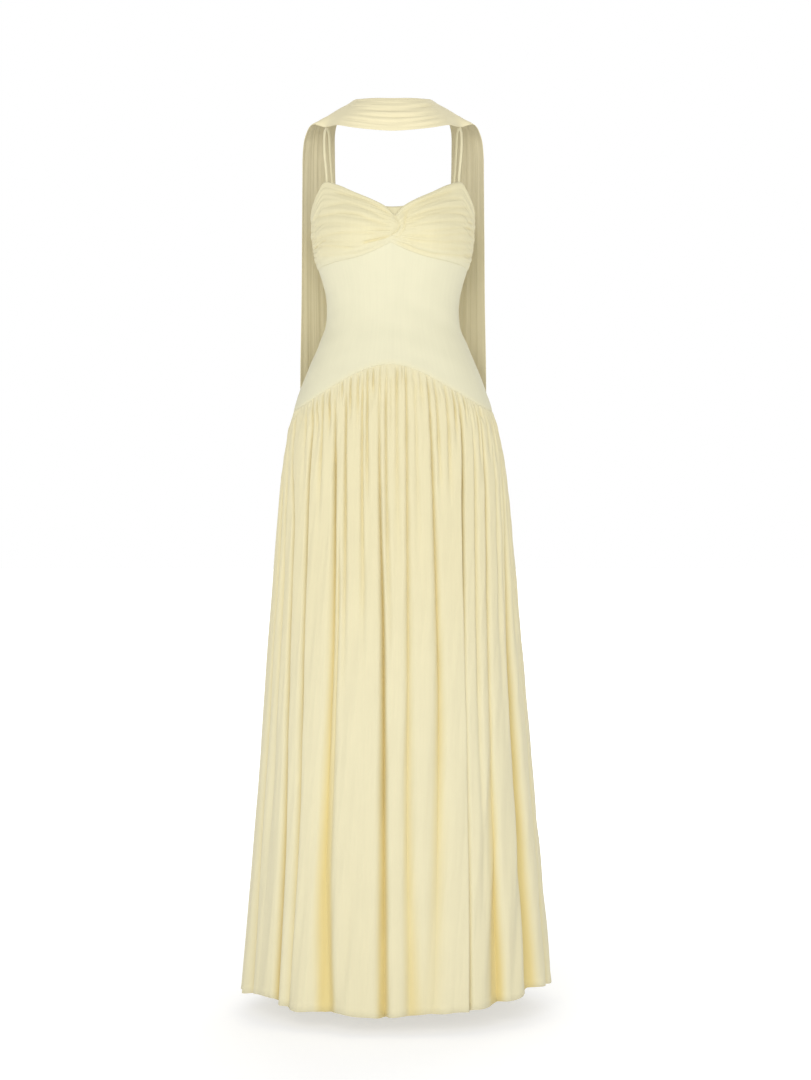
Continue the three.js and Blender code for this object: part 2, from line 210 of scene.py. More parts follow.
def hem_height(angle):
    """Height of the hem, without its steps from fold to fold."""
    swing = HEM_SWING * np.cos(np.radians(HEM_WAVES * angle + HEM_PHASE))
    from_right = (np.asarray(angle, float) - DROOP_ANGLE + 180) % 360 - 180
    droop = HEM_DROOP * np.exp(-((from_right / DROOP_SPREAD) ** 2))
    return HEM + HEM_RISE * np.sin(np.radians(angle)) ** 2 + swing - droop


def body_point(angle, z):
    """Points on the smooth form of the gown, as an array with x, y and z last."""
    angle, z = np.broadcast_arrays(np.asarray(angle, float), np.asarray(z, float))
    across, forward = np.sin(np.radians(angle)), np.cos(np.radians(angle))
    power = mix(BODICE_OVAL, SKIRT_OVAL, smooth(-z, *OVAL_CHANGE))
    rounding = (np.abs(across) ** power + np.abs(forward) ** power) ** (1 / power)
    depth = np.where(forward > 0, FRONT(z), BACK(z))
    x = SIDE(z) * across / rounding
    upright = ((z - CUP.z) / CUP.height) ** 2
    cups = sum(np.exp(-(((x - side * CUP.x) / CUP.width) ** 2) - upright) for side in (-1, 1))
    bust = np.where(forward > 0, CUP.depth * cups * smooth(forward, 0, CUP_TURN), 0)
    return np.stack([x, -depth * forward / rounding - bust, z], axis=-1)


# ---- Meshes ----


def add_object(name, data):
    """A new object in the scene, at the origin."""
    obj = bpy.data.objects.new(name, data)
    bpy.context.scene.collection.objects.link(obj)
    return obj


def grid_places(across, up, rows, columns):
    """Row and column of each grid point, from its share of the way across and up."""
    return np.rint((1 - up) * (rows - 1)).astype(int), np.rint(across * (columns - 1)).astype(int)


def grid_object(name, points, flat):
    """A cloth grid moved to the given points; flat is its cut size, which its UV map shows in metres."""
    rows, columns = points.shape[:2]
    bm = bmesh.new()
    bmesh.ops.create_grid(bm, x_segments=columns - 1, y_segments=rows - 1, size=0.5)
    mesh = bpy.data.meshes.new(name)
    bm.to_mesh(mesh)
    bm.free()
    start = np.zeros(len(mesh.vertices) * 3)
    mesh.vertices.foreach_get("co", start)
    start = start.reshape(-1, 3) + 0.5
    row, column = grid_places(start[:, 0], start[:, 1], rows, columns)
    mesh.vertices.foreach_set("co", (points[row, column] * MM).ravel())
    corners = np.zeros(len(mesh.loops), int)
    mesh.loops.foreach_get("vertex_index", corners)
    share = np.stack([column / (columns - 1) * flat[0], (1 - row / (rows - 1)) * flat[1]], axis=-1)
    mesh.uv_layers.new(name="cloth").data.foreach_set("uv", share[corners].ravel())
    mesh.polygons.foreach_set("use_smooth", np.ones(len(mesh.polygons), bool))
    mesh.update()
    return add_object(name, mesh)


def add_doubled_and_shade_mask(obj, values):
    """Stores one value a grid point, rows first, for the material to read: the deeper tone where the cloth
    lies doubled, and painted shade.
    """
    mesh = obj.data
    corners = np.zeros(len(mesh.loops) * 2)
    mesh.uv_layers["cloth"].data.foreach_get("uv", corners)
    corners = corners.reshape(-1, 2) / corners.reshape(-1, 2).max(0)
    row, column = grid_places(corners[:, 0], corners[:, 1], *values.shape)
    index = np.zeros(len(mesh.loops), int)
    mesh.loops.foreach_get("vertex_index", index)
    per_point = np.zeros(len(mesh.vertices))
    per_point[index] = values[row, column]
    mesh.attributes.new("fold", "FLOAT", "POINT").data.foreach_set("value", per_point)


def weld(obj, distance):
    """Joins points of a mesh that lie together, so that a grid laid round a strap closes."""
    bm = bmesh.new()
    bm.from_mesh(obj.data)
    bmesh.ops.remove_doubles(bm, verts=bm.verts, dist=distance)
    bm.to_mesh(obj.data)
    bm.free()


def thicken(obj, thickness):
    """Gives the cloth its thickness, inwards from the modelled face."""
    wall = obj.modifiers.new("wall", "SOLIDIFY")
    wall.thickness = thickness
    wall.offset = -1
    wall.use_rim = True
    wall.use_even_offset = False
    return wall


def finish(obj, material, node, slot, **sheet):
    """Puts the cloth on the gown in place of a solid, with its material; its cut is not used."""
    obj.data.materials.append(material)
    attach(obj, "root")
    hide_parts(node)


def settings():
    """The sizes, colours and light that the panel shows."""
    return bpy.context.scene.gown


# ---- Materials ----

WALES = 900.0  # ribs of the jersey to a metre
STITCH_PITCH = 1.4  # stitches down a rib, to its width
STITCH_SLANT = 0.5
WALE_SHARE = 0.65  # of the knit's relief, the rest being the stitches
KNIT_RELIEF = {"Strength": 0.25, "Distance": 0.0002}
CLOUDS = {"Scale": 18.0, "Detail": 3.0}
STREAKS = {"Scale": 1.0, "Detail": 2.0}
STREAK_PITCH = (260.0, 9.0, 1.0)  # streaks to a metre across the cloth, and down it
MOTTLE = 0.06
INSIDE_MOTTLE = 0.1
JERSEY_FINISH = {"Roughness": 0.82, "Specular IOR Level": 0.25, "Sheen Weight": 0.12, "Sheen Roughness": 0.6}


def new_group(name, inputs, outputs):
    """An empty shader group with the given sockets: name, kind and default."""
    group = bpy.data.node_groups.new(name, "ShaderNodeTree")
    for socket, kind, value in inputs:
        item = group.interface.new_socket(socket, in_out="INPUT", socket_type=kind)
        if value is not None:
            item.default_value = value
    for socket, kind in outputs:
        group.interface.new_socket(socket, in_out="OUTPUT", socket_type=kind)
    return group, group.nodes.new("NodeGroupInput"), group.nodes.new("NodeGroupOutput")


def add_node(tree, kind, values=None, links=None, **options):
    """A new node with its options, the values of its sockets and the outputs that feed them."""
    node = tree.nodes.new(kind)
    for option, value in options.items():
        setattr(node, option, value)
    set_sockets(node, values or {})
    for socket, output in (links or {}).items():
        tree.links.new(output, node.inputs[socket])
    return node


def set_sockets(node, values):
    """Sets the sockets of a node that are the same all over."""
    for socket, value in values.items():
        node.inputs[socket].default_value = value


def sum_node(group, kind, *terms):
    """The output of one sum, whose terms are numbers or other nodes' outputs."""
    node = add_node(group, "ShaderNodeMath", operation=kind)
    for socket, term in zip(node.inputs, terms):
        if isinstance(term, (int, float)):
            socket.default_value = term
        else:
            group.links.new(term, socket)
    return node.outputs[0]


def knit_group():
    """Fine jersey: wales that run down the cloth and courses across it, as a height."""
    if "Fine jersey" in bpy.data.node_groups:
        return bpy.data.node_groups["Fine jersey"]
    group, take, give = new_group(
        "Fine jersey",
        [("Vector", "NodeSocketVector", None), ("Wales per metre", "NodeSocketFloat", WALES)],
        [("Height", "NodeSocketFloat")],
    )

    def humps(place):
        sine = sum_node(group, "SINE", sum_node(group, "MULTIPLY", place, math.pi))
        return sum_node(group, "ABSOLUTE", sine)

    def blend(a, a_share, b, b_share):
        return sum_node(
            group, "ADD", sum_node(group, "MULTIPLY", a, a_share), sum_node(group, "MULTIPLY", b, b_share)
        )

    split = add_node(group, "ShaderNodeSeparateXYZ", links={"Vector": take.outputs["Vector"]})
    density = take.outputs["Wales per metre"]
    wale = humps(sum_node(group, "MULTIPLY", split.outputs["X"], density))
    down = sum_node(group, "MULTIPLY", split.outputs["Y"], density)
    stitch = humps(blend(down, STITCH_PITCH, wale, STITCH_SLANT))
    group.links.new(blend(wale, WALE_SHARE, stitch, 1 - WALE_SHARE), give.inputs["Height"])
    return group


def mottle_group():
    """Soft clouds and faint streaks down the cloth, as a value near 1."""
    if "Cloth mottle" in bpy.data.node_groups:
        return bpy.data.node_groups["Cloth mottle"]
    group, take, give = new_group(
        "Cloth mottle",
        [("Vector", "NodeSocketVector", None), ("Amount", "NodeSocketFloat", MOTTLE)],
        [("Value", "NodeSocketFloat")],
    )
    vector = {"Vector": take.outputs["Vector"]}
    clouds = add_node(group, "ShaderNodeTexNoise", CLOUDS, vector)
    stretch = add_node(group, "ShaderNodeMapping", {"Scale": STREAK_PITCH}, vector)
    streaks = add_node(group, "ShaderNodeTexNoise", STREAKS, {"Vector": stretch.outputs["Vector"]})
    both = sum_node(group, "ADD", clouds.outputs["Fac"], streaks.outputs["Fac"])
    centred = sum_node(group, "SUBTRACT", both, 1.0)
    value = sum_node(group, "ADD", sum_node(group, "MULTIPLY", centred, take.outputs["Amount"]), 1.0)
    group.links.new(value, give.inputs["Value"])
    return group


def jersey(name, colour, deep=None, mottled=MOTTLE):
    """Pale stretch jersey. Where the cloth's fold mask is high it has the deep colour: the deeper tone where
    the cloth lies doubled, and painted shade in folds, creases and at the seam.
    """
    material = bpy.data.materials.new(name)
    material.use_nodes = True
    tree = material.node_tree
    shader = tree.nodes["Principled BSDF"]
    set_sockets(shader, JERSEY_FINISH)
    place = {"Vector": add_node(tree, "ShaderNodeUVMap", uv_map="cloth").outputs["UV"]}
    mottle = add_node(tree, "ShaderNodeGroup", {"Amount": mottled}, place, node_tree=mottle_group())
    shade = add_node(
        tree,
        "ShaderNodeMix",
        {"Factor": 1.0, "A": (*colour, 1)},
        {"B": mottle.outputs["Value"]},
        data_type="RGBA",
        blend_type="MULTIPLY",
    )
    # the fold mask mixes in the deep colour: painted shade in hollows, and the drape's doubled tone
    if deep is not None:
        mask = {"Factor": add_node(tree, "ShaderNodeAttribute", attribute_name="fold").outputs["Fac"]}
        colours = {"A": (*colour, 1), "B": (*deep, 1)}
        doubled_and_shade = add_node(tree, "ShaderNodeMix", colours, mask, data_type="RGBA")
        tree.links.new(doubled_and_shade.outputs["Result"], shade.inputs["A"])
    tree.links.new(shade.outputs["Result"], shader.inputs["Base Color"])
    knit = add_node(tree, "ShaderNodeGroup", {}, place, node_tree=knit_group())
    bump = add_node(tree, "ShaderNodeBump", KNIT_RELIEF, {"Height": knit.outputs["Height"]})
    tree.links.new(bump.outputs["Normal"], shader.inputs["Normal"])
    return material


# ---- Skirt ----

# Each long furrow of the skirt: its angle at six heights from the seam to the hem; its depth just under the
# seam, at two heights between and at the hem; the half widths of its left and right slopes at the hem, as
# seen from outside; how sharp it is at the hem, from 0 for a soft hollow to 1 for ridges that touch; and how
# much higher the hem hangs from there to the next furrow. The ridge beside a steep slope laps over it.
HEIGHTS = (0.0, 0.06, 0.2, 0.45, 0.75, 1.0)
DEPTH_HEIGHTS = (0, 0.025, 0.2, 0.5, 1)
Furrow = namedtuple("Furrow", "a0 a1 a2 a3 a4 a5 top thigh knee hem left right sharp rise")
FURROWS = table(Furrow, (
    (-90, -90, -90, -90, -90, -90, 2, 5, 8, 10, 14, 14, 0.2, 3),
    (-80, -79, -76, -73, -71, -69, 3, 7, 10, 9, 14, 14, 0, 5),
    (-70, -66.5, -58.2, -55, -51.2, -50.3, 5, 11, 13, 18, 6, 11, 0.5, -2),
    (-53, -48.4, -47.2, -45, -42.7, -43, 6, 13, 12, 7, 9, 7, 0.3, -5),
    (-36.5, -33, -30.3, -29, -29.5, -26.3, 4, 15, 14, 20, 19, 15, 0, -3),
    (-8.8, -8, -6.9, -5, -4.6, -4.4, 2, 11, 19, 20, 12, 8, 0.2, 0),
    (8.6, 7.5, 6.5, 5.8, 4.6, 5.2, 7, 9, 11, 11, 13, 18, 0, 0),
    (22, 20.6, 19.8, 19.7, 16.8, 13.4, 6, 10.5, 13, 6, 22, 20, 0.1, -1),
    (41, 39.5, 35.8, 32.5, 30, 27.3, 7, 15, 4, 11, 4, 3.5, 0.95, 3),
    (56.5, 55, 51.8, 46.5, 43.6, 41.8, 5, 9, 8, 22, 25, 9, 0.05, 5),
    (76.5, 75, 70.5, 64.2, 62.4, 61.2, 5, 10, 25, 22, 24, 18, 0.05, 9),
    (84, 83.5, 82, 79, 77, 76, 3, 5, 7, 10, 11, 9, 0.2, 6),
    (90, 90, 90, 90, 90, 90, 2, 5, 8, 12, 14, 14, 0.3, 4),
    (100, 101, 103, 105, 107, 109, 5, 9, 12, 18, 12, 6, 0.3, -2),
    (117, 117.5, 118, 118, 118, 119, 7, 12, 9, 7, 6, 9, 0.6, 3),
    (127, 128.5, 131, 134, 137, 139, 5, 13, 18, 27, 7, 18, 0.05, -4),
    (146, 146, 147, 148, 148, 147.5, 8, 11, 8, 12, 9, 5, 0.6, -1),
    (160, 161.5, 164, 166.5, 168, 168.5, 4, 12, 19, 27, 17, 8, 0.1, 3),
    (179, 178.5, 178.5, 178, 178.5, 179, 8, 12, 9, 8, 4, 7, 0.8, 0),
    (193, 194, 197, 199.5, 200.5, 200, 5, 13, 16, 24, 8, 17, 0.1, -3),
    (212, 211.5, 211, 211, 210.5, 210, 8, 11, 13, 19, 10, 4, 0.4, -5),
    (224, 225.5, 228, 230.5, 232, 233, 4, 12, 14, 17, 14, 7, 0.2, 2),
    (244, 243.5, 243, 243, 242.5, 242, 7, 11, 13, 20, 5, 10, 0.45, 5),
    (256, 256, 257, 258.5, 260, 261, 4, 8, 13, 17, 9, 13, 0.15, 3),
    (270, 270, 270, 270, 270, 270, 2, 5, 8, 10, 14, 14, 0.2, 3),
))
SEAM_DEPTH = 0.5  # of a furrow's depth just under the seam, the share that it has in the seam
SEAM_HALF_WIDTH = 2.6
SEAM_SHARP = 0.82  # how sharp the furrows and gathers are near the seam
WIDEN_POWER = 1.4  # above 1, the furrows widen late on the way down
CREASE_REACH = 1.8  # half widths that a sharp furrow reaches
LAP = 0.45  # how far a ridge laps over, to the difference of the slopes beside it
LAP_SPREAD = 1.4
STEP_REACH = 0.07  # how far a step of the hem spreads, in furrows
COLUMN_CROWDING = 0.06  # how much closer the columns stand in the furrows

# Small gathers that fade out on the way down: angle at the seam, how far down they start and reach as shares
# of the skirt, depth, and half width.
Gather = namedtuple("Gather", "seam start reach depth width")
GATHERS = table(Gather, (
    (-85, 0, 0.1, 3.9, 2.5),
    (-83, 0.06, 0.5, 4.0, 4),
    (-79, 0.03, 0.45, 4.5, 3.5),
    (-75, 0.02, 0.78, 7.5, 4.5),
    (-62.8, 0, 0.04, 5.2, 2.2),
    (-58, 0.01, 0.156, 3.5, 2.7),
    (-49, 0.01, 0.09, 4.6, 2.4),
    (-45.3, 0, 0.208, 7.4, 2.5),
    (-40.5, 0.005, 0.09, 5.2, 2.2),
    (-33.4, 0.2, 1, 8, 5),
    (-32.2, 0, 0.03, 5.6, 1.9),
    (-29.6, 0.005, 0.5, 9.5, 2.8),
    (-27, 0.005, 0.09, 5.6, 2.2),
    (-22, 0.005, 0.1, 5.2, 2.5),
    (-19.4, 0, 0.442, 9.5, 2.6),
    (-16.2, 0, 0.24, 8, 2.3),
    (-12.6, 0, 0.05, 4.6, 2),
    (-4.6, 0.02, 0.5, 7.5, 3.2),
    (-1.5, 0.02, 0.182, 3.2, 2.7),
    (2.3, 0, 0.338, 6.3, 3.4),
    (13.8, 0, 0.312, 5.2, 2.9),
    (18, 0.01, 0.08, 3.2, 2.4),
    (26.3, 0, 0.195, 7.4, 2.4),
    (32.5, 0, 0.182, 7.8, 2.4),
    (37.4, 0, 0.09, 7, 2),
    (45, 0, 0.05, 5.6, 1.9),
    (48.6, 0, 0.78, 8, 3.4),
    (53.8, 0.005, 0.12, 6.0, 2.2),
    (58.4, 0, 0.03, 5.6, 2),
    (62.5, 0.005, 0.1, 4.6, 2.5),
    (66, 0.05, 0.52, 5.5, 3.8),
    (70, 0.005, 0.1, 4.6, 2.5),
    (72, 0.1, 0.6, 4.5, 4),
    (80, 0, 0.08, 3.9, 2.4),
    (80.5, 0.05, 0.5, 4.5, 3.5),
    (94.5, 0, 0.156, 5.0, 2.5),
    (105, 0, 0.07, 5.6, 2.2),
    (110, 0.25, 0.95, 6, 6),
    (110.5, 0, 0.312, 6.7, 2.5),
    (122, 0, 0.09, 6.3, 2.2),
    (131, 0.01, 0.208, 4.6, 2.5),
    (134.5, 0, 0.39, 7.4, 2.7),
    (135.5, 0.35, 1, 6, 6),
    (140.5, 0, 0.08, 5.6, 2),
    (150.5, 0, 0.169, 6.7, 2.4),
    (153, 0.3, 1, 6.5, 7),
    (156.5, 0, 0.442, 7.1, 2.7),
    (168, 0, 0.1, 6.0, 2.2),
    (172.5, 0, 0.286, 7.1, 2.5),
    (183.5, 0, 0.07, 5.6, 2),
    (186, 0.2, 0.9, 7, 5.5),
    (189.5, 0, 0.39, 7.4, 2.7),
    (199.5, 0, 0.182, 6.3, 2.4),
    (204.5, 0, 0.08, 5.2, 2.2),
    (217, 0, 0.338, 7.4, 2.5),
    (218, 0.3, 0.95, 6, 6),
    (220.5, 0, 0.1, 5.6, 2.2),
    (231.5, 0, 0.234, 6.7, 2.4),
    (237.5, 0, 0.08, 5.2, 2.2),
    (249, 0, 0.286, 6.3, 2.5),
    (250, 0.3, 0.95, 5, 6),
    (262.5, 0, 0.1, 4.6, 2.4),
))
GATHER_START = 0.006  # a short gather comes in over this share of the skirt
LONG_GATHER = 0.3  # a longer one comes in over this share of what it has beyond this length
GATHER_FADE = (0.3, 1.35)  # the part of its length over which it fades
GATHER_WIDEN = (0.8, 2.4)  # its half width at the seam and below its reach, to the table's
GATHER_SPREAD = 1.5  # how far down that is, to its reach
FINE_GATHERS = 170  # more small gathers all round, close under the seam
FINE_SHIFT = (0.3, 1.8)  # how far each stands off an even row, at random
FINE_REACH = (0.012, 0.075)
FINE_DEPTH = (1.6, 4.2)
FINE_WIDTH = (1.1, 1.8)
PUCKER_SPREAD = 0.55
PUCKER_PULL = 0.25  # how far a gather pulls the sewn edge down, to its depth
SEWN_ABOVE = 0.6  # how far above the seam's line the two are sewn

# Soft unevenness between the folds: wavelengths round and down the skirt, seed, and height at seam and hem.
Ripple = namedtuple("Ripple", "across down seed seam hem")
RIPPLES = table(Ripple, ((34, 420, 3, 0.6, 1.6), (13, 160, 5, 0.45, 0.35)))
SEAM_SWELL = 3.4  # how far the gathered cloth stands off under the seam, and where this starts and ends
SWELL_START = (0, 0.03)
SWELL_END = (0.05, 0.3)
SKIRT_SWELL = 5.0  # how far all of it stands off towards the hem
SKIRT_BAND = (0.05, 1)
SKIRT_OUT = 0.9  # how far its face stands off the form, and in the seam
SKIRT_SEAM_OUT = -0.1
SEAM_PRESS = 0.16  # how far the gathers press into the seam itself, to their depth
SEAM_BAND = (-0.0022, 0.004)  # the seam, from the first row down, as shares of the skirt
HEM_BAND = (6.5, 4.5)  # how far above the edge the rolled hem ends
HEM_ROLL = 0.5
HEM_WANDER = 1.2  # how far the edge wanders up and down, over what length, and how near the hem
HEM_WANDER_LENGTH = 60
HEM_PART = (0.9, 1)
RIDGE_SHADE = 0.12  # painted shade on the ridges near the seam, which fades here, and in the furrows
RIDGE_FADE = (0.25, 0.6)
FURROW_SHADE = 0.92
SHADE_DEPTH = 1.5  # the painted shade deepens from this depth to one of the next, near the seam and below
SHADE_FULL = (13, 16)
SHADE_CHANGE = (0.08, 0.35)

SKIRT_ROWS = 86
ROW_POWER = 1.35  # above 1, the rows stand closer near the seam
SKIRT_COLUMNS = 560  # in each half
SKIRT_CUT = (1.05, 1.06)  # each half's cut, wide at the hem, and its length, in metres
SKIRT_AREA = 0.87
SIDE_SEAM_GAP = 0.15  # each half of the skirt and bodice is drawn back this far from the side seams


def fine_gathers():
    """Fine uneven gathers all round."""
    rng = np.random.default_rng(17)
    angles = np.linspace(-90, 270, FINE_GATHERS, endpoint=False) + rng.uniform(*FINE_SHIFT, FINE_GATHERS)
    sizes = [rng.uniform(*limits, FINE_GATHERS) for limits in (FINE_REACH, FINE_DEPTH, FINE_WIDTH)]
    return [Gather(angle, 0, *size) for angle, *size in zip(angles, *sizes)]


ALL_GATHERS = (*GATHERS, *fine_gathers())


def seam_puckers(angle):
    """How deep the gathers that start at the skirt seam are there."""
    turn = (np.asarray(angle, float) + 90) % 360 - 90
    at_seam = [gather for gather in ALL_GATHERS if gather.start == 0]
    deep = sum(gather.depth * np.exp(-(((turn - gather.seam) / PUCKER_SPREAD) ** 2)) for gather in at_seam)
    return settings().gather_depth * deep


def sewn_edge(angle):
    """Height of the sewn edge, which the gathers pull down a little."""
    return seam_height(angle) + SEWN_ABOVE - PUCKER_PULL * seam_puckers(angle)


def open_side_seams(points, front):
    """Draws half of the gown back from its side seams."""
    points[..., 1] += -SIDE_SEAM_GAP if front else SIDE_SEAM_GAP


def skirt_columns():
    """Place of each column round the skirt, counted in furrows, with the same number in front and back."""
    seams = [i for i, furrow in enumerate(FURROWS) if furrow.a0 == furrow.a5 and furrow.a0 % 180 == 90]
    places = []
    for first, last in zip(seams, seams[1:]):
        pairs = zip(FURROWS[first:last], FURROWS[first + 1 :])
        width = np.array([(b.a0 - a.a0 + b.a5 - a.a5) / 2 for a, b in pairs])
        reach = np.concatenate([[0], np.cumsum(width)]) / width.sum()
        even = first + np.interp(np.linspace(0, 1, SKIRT_COLUMNS + 1), reach, np.arange(last - first + 1))
        places.append(even - COLUMN_CROWDING * np.sin(2 * math.pi * even))
    return np.concatenate([places[0][:-1], places[1]])


def column_angles(columns, shares):
    """Angle of each column at each row, between the paths of the furrows on its two sides."""
    paths = np.array([curve_through(HEIGHTS, furrow[: len(HEIGHTS)])(shares) for furrow in FURROWS])
    fold = np.minimum(columns.astype(int), len(FURROWS) - 2)
    share = (columns - fold)[:, None]
    return (paths[fold] * (1 - share) + paths[fold + 1] * share).T


def hem_steps(columns):
    """How much higher the hem hangs at each column, with a soft step at each furrow."""
    edges = (np.arange(len(FURROWS))[:, None] + (-STEP_REACH, STEP_REACH)).ravel()
    rises = np.repeat([FURROWS[-1].rise, *(furrow.rise for furrow in FURROWS)], 2)[1:-1]
    return np.interp(columns, edges, rises)


def long_furrows(shares):
    """Place, depth, left and right half width and sharpness of each long furrow, row by row."""
    widen = shares**WIDEN_POWER
    for place, furrow in enumerate(FURROWS[:-1]):
        depths = (furrow.top * SEAM_DEPTH, furrow.top, furrow.thigh, furrow.knee, furrow.hem)
        deep = settings().fold_depth * curve_through(DEPTH_HEIGHTS, depths)(shares)
        left, right = (mix(SEAM_HALF_WIDTH, half, widen) for half in (furrow.left, furrow.right))
        yield place, deep, left, right, mix(SEAM_SHARP, furrow.sharp, widen)


def gather_furrows(downs):
    """The same for each gather."""
    seams = [furrow.a0 for furrow in FURROWS]
    for gather in ALL_GATHERS:
        length = gather.reach - gather.start
        come_in = max(GATHER_START, LONG_GATHER * (length - LONG_GATHER))
        swell = smooth(downs, gather.start - GATHER_START, gather.start + come_in)
        fade = 1 - smooth(downs, *(gather.start + length * part for part in GATHER_FADE))
        half = gather.width * mix(*GATHER_WIDEN, smooth(downs, 0, gather.reach * GATHER_SPREAD))
        sharp = SEAM_SHARP * (1 - smooth(downs, gather.start, gather.reach))
        place = np.interp(gather.seam, seams, np.arange(len(seams)))
        yield place, settings().gather_depth * gather.depth * swell * fade, half, half, sharp


def pressed_in(arc, columns, place, deep, left, right, sharp):
    """How deep a furrow presses each point in, and how far the ridge at its steeper side laps over it."""
    numbers = np.arange(len(columns))
    column = np.interp(place, columns, numbers)
    centre = np.array([np.interp(column, numbers, row) for row in arc])[:, None]
    girth = arc[:, -1:]
    away = (arc - centre + girth / 2) % girth - girth / 2
    x = away / np.where(away < 0, left[:, None], right[:, None])
    close = np.clip(1 - np.abs(x) / CREASE_REACH, 0, 1)
    pressed = deep[:, None] * mix(np.exp(-(x**2)), 1 - np.sqrt(1 - close**2), sharp[:, None])
    over = LAP * (left - right)[:, None]
    shoulder = np.maximum(x * np.sign(over), 0)
    return pressed, over * shoulder * np.exp(-(shoulder**2) / LAP_SPREAD)


def skirt_form():
    """Points all round the skirt, rows down and columns round, and its painted shade in the furrows and on
    the ridges near the seam.
    """
    downs = np.concatenate([SEAM_BAND[:1], np.linspace(0, 1, SKIRT_ROWS) ** ROW_POWER])
    shares = np.clip(downs, 0, 1)
    columns = skirt_columns()
    angle = column_angles(columns, shares)
    down = downs[:, None] + 0 * angle
    hem = hem_height(angle) + hem_steps(columns)
    z = mix(sewn_edge(angle), hem, down)
    base = body_point(angle, z)
    base[..., 0] += HEM_LEAN * shares[:, None] ** LEAN_POWER
    level = np.gradient(base, axis=1) * (1, 1, 0)
    tangent = unit(level)
    outward = np.stack([tangent[..., 1], -tangent[..., 0], 0 * down], axis=-1)
    arc = np.stack([along_line(row) for row in base[..., :2]])

    depth, lap = np.zeros_like(down), np.zeros_like(down)
    for furrow in (*long_furrows(shares), *gather_furrows(downs)):
        pressed, over = pressed_in(arc, columns, *furrow)
        depth += pressed
        lap -= over

    swell = SEAM_SWELL * smooth(down, *SWELL_START) * (1 - smooth(down, *SWELL_END))
    swell += SKIRT_SWELL * smooth(down, *SKIRT_BAND)
    uneven = sum(waves(arc / r.across, z / r.down, r.seed) * mix(r.seam, r.hem, down) for r in RIPPLES)
    below = smooth(down, *SEAM_BAND)
    relief = mix(SKIRT_SEAM_OUT, SKIRT_OUT + swell - depth + uneven, below)
    relief -= depth * SEAM_PRESS * (1 - below)
    relief += HEM_ROLL * smooth(z - hem, *HEM_BAND)
    points = base + outward * relief[..., None] + tangent * (lap * below)[..., None]
    points[..., 2] -= HEM_WANDER * waves(arc / HEM_WANDER_LENGTH, 0 * arc, 9) * smooth(down, *HEM_PART)
    # painted shade: on the ridges under the seam, fading down the skirt, and in the furrows by their depth
    ridges = RIDGE_SHADE * smooth(down, *SWELL_START) * (1 - smooth(down, *RIDGE_FADE))
    full = mix(*SHADE_FULL, smooth(down, *SHADE_CHANGE))
    return points, mix(ridges, FURROW_SHADE, smooth(depth, SHADE_DEPTH, full))


class GOWN_OT_skirt(bpy.types.Operator):
    """Hang the gathered skirt from the arched seam, front and back"""

    bl_idname = "gown.skirt"
    bl_label = "Skirt"

    def execute(self, context):
        points, doubled_and_shade = skirt_form()
        cloth = settings()
        material = jersey("skirt_jersey", cloth.skirt_colour, cloth.doubled_and_shade_colour)
        for node, front in (("skirt_front", True), ("skirt_back", False)):
            part = slice(SKIRT_COLUMNS + 1) if front else slice(SKIRT_COLUMNS, None)
            half = points[:, part].copy()
            open_side_seams(half, front)
            obj = grid_object(f"{node}_cloth", half, SKIRT_CUT)
            add_doubled_and_shade_mask(obj, doubled_and_shade[:, part])
            thicken(obj, cloth.thickness)
            bodice = ["bodice_front", "bodice_back"]
            cut = {"flat": SKIRT_CUT, "area": SKIRT_AREA, "held": "gathered", "rests_on": bodice}
            finish(obj, material, node, "skirt", **cut)
        return {"FINISHED"}


# ---- Bodice ----

BODICE_CUT = (0.42, 0.36)  # each half's cut, in metres
BODICE_ROWS = 80
BODICE_COLUMNS = 440
BODICE_OUT = 0.7  # how far its face stands off the form, and where it is sewn to the skirt
BODICE_SEAM_OUT = 0.3
BODICE_RADIUS = 120  # about the form's, for wrinkles measured round it
WRINKLE_SIZE = (90, 34)  # round and down
WRINKLE_HEIGHT = 0.55
WRINKLE_START = (0.15, 0.5)  # where they come in and die out on the way down
WRINKLE_END = (0.9, 1)
TURN_REACH = 5  # how far above the seam the cloth starts to turn in to it
PUCKER_REACH = 9  # how far up the gathers draw it in, and how far in, to their depth
PUCKER_RISE = 0.14
SEAM_SHADE = 0.12  # painted shade at the seam, and how far up it reaches
SEAM_SHADE_REACH = 12
TWIST_SHADE = 0.3  # deeper tint in the notch above the twist
NOTCH_Z = (-178, -160)
NOTCH_ANGLE = (8, 14)


def bodice_form(front):
    """Points of one half of the bodice, rows down from the top edge to the seam, and its painted shade."""
    u, v = np.meshgrid(np.linspace(0, 1, BODICE_COLUMNS + 1), np.linspace(0, 1, BODICE_ROWS + 1))
    angle = mix(-90, 90, u) if front else mix(90, 270, u)
    top = NECK_HEIGHT(np.abs(angle)) if front else mix(SIDE_NECK, BACK_NECK, np.sin(math.pi * u))
    edge = sewn_edge(angle)
    z = mix(top, edge, v)
    points = body_point(angle, z)
    normals = surface_normals(points)
    wrinkles = waves(np.radians(angle) * BODICE_RADIUS / WRINKLE_SIZE[0], z / WRINKLE_SIZE[1], 21)
    drag = wrinkles * WRINKLE_HEIGHT * smooth(v, *WRINKLE_START) * (1 - smooth(v, *WRINKLE_END))
    to_seam = z - edge
    out = mix(BODICE_OUT, BODICE_SEAM_OUT, smooth(to_seam, TURN_REACH, 0))
    out -= PUCKER_RISE * seam_puckers(angle) * smooth(to_seam, PUCKER_REACH, 0)
    points += normals * (out + drag)[..., None]
    open_side_seams(points, front)
    # painted shade in the notch between the drape's halves and along the seam under the gathers
    notch = smooth(z, *NOTCH_Z) * (1 - smooth(np.abs(angle), *NOTCH_ANGLE)) if front else 0
    return points, SEAM_SHADE * smooth(to_seam, SEAM_SHADE_REACH, 0) + TWIST_SHADE * notch


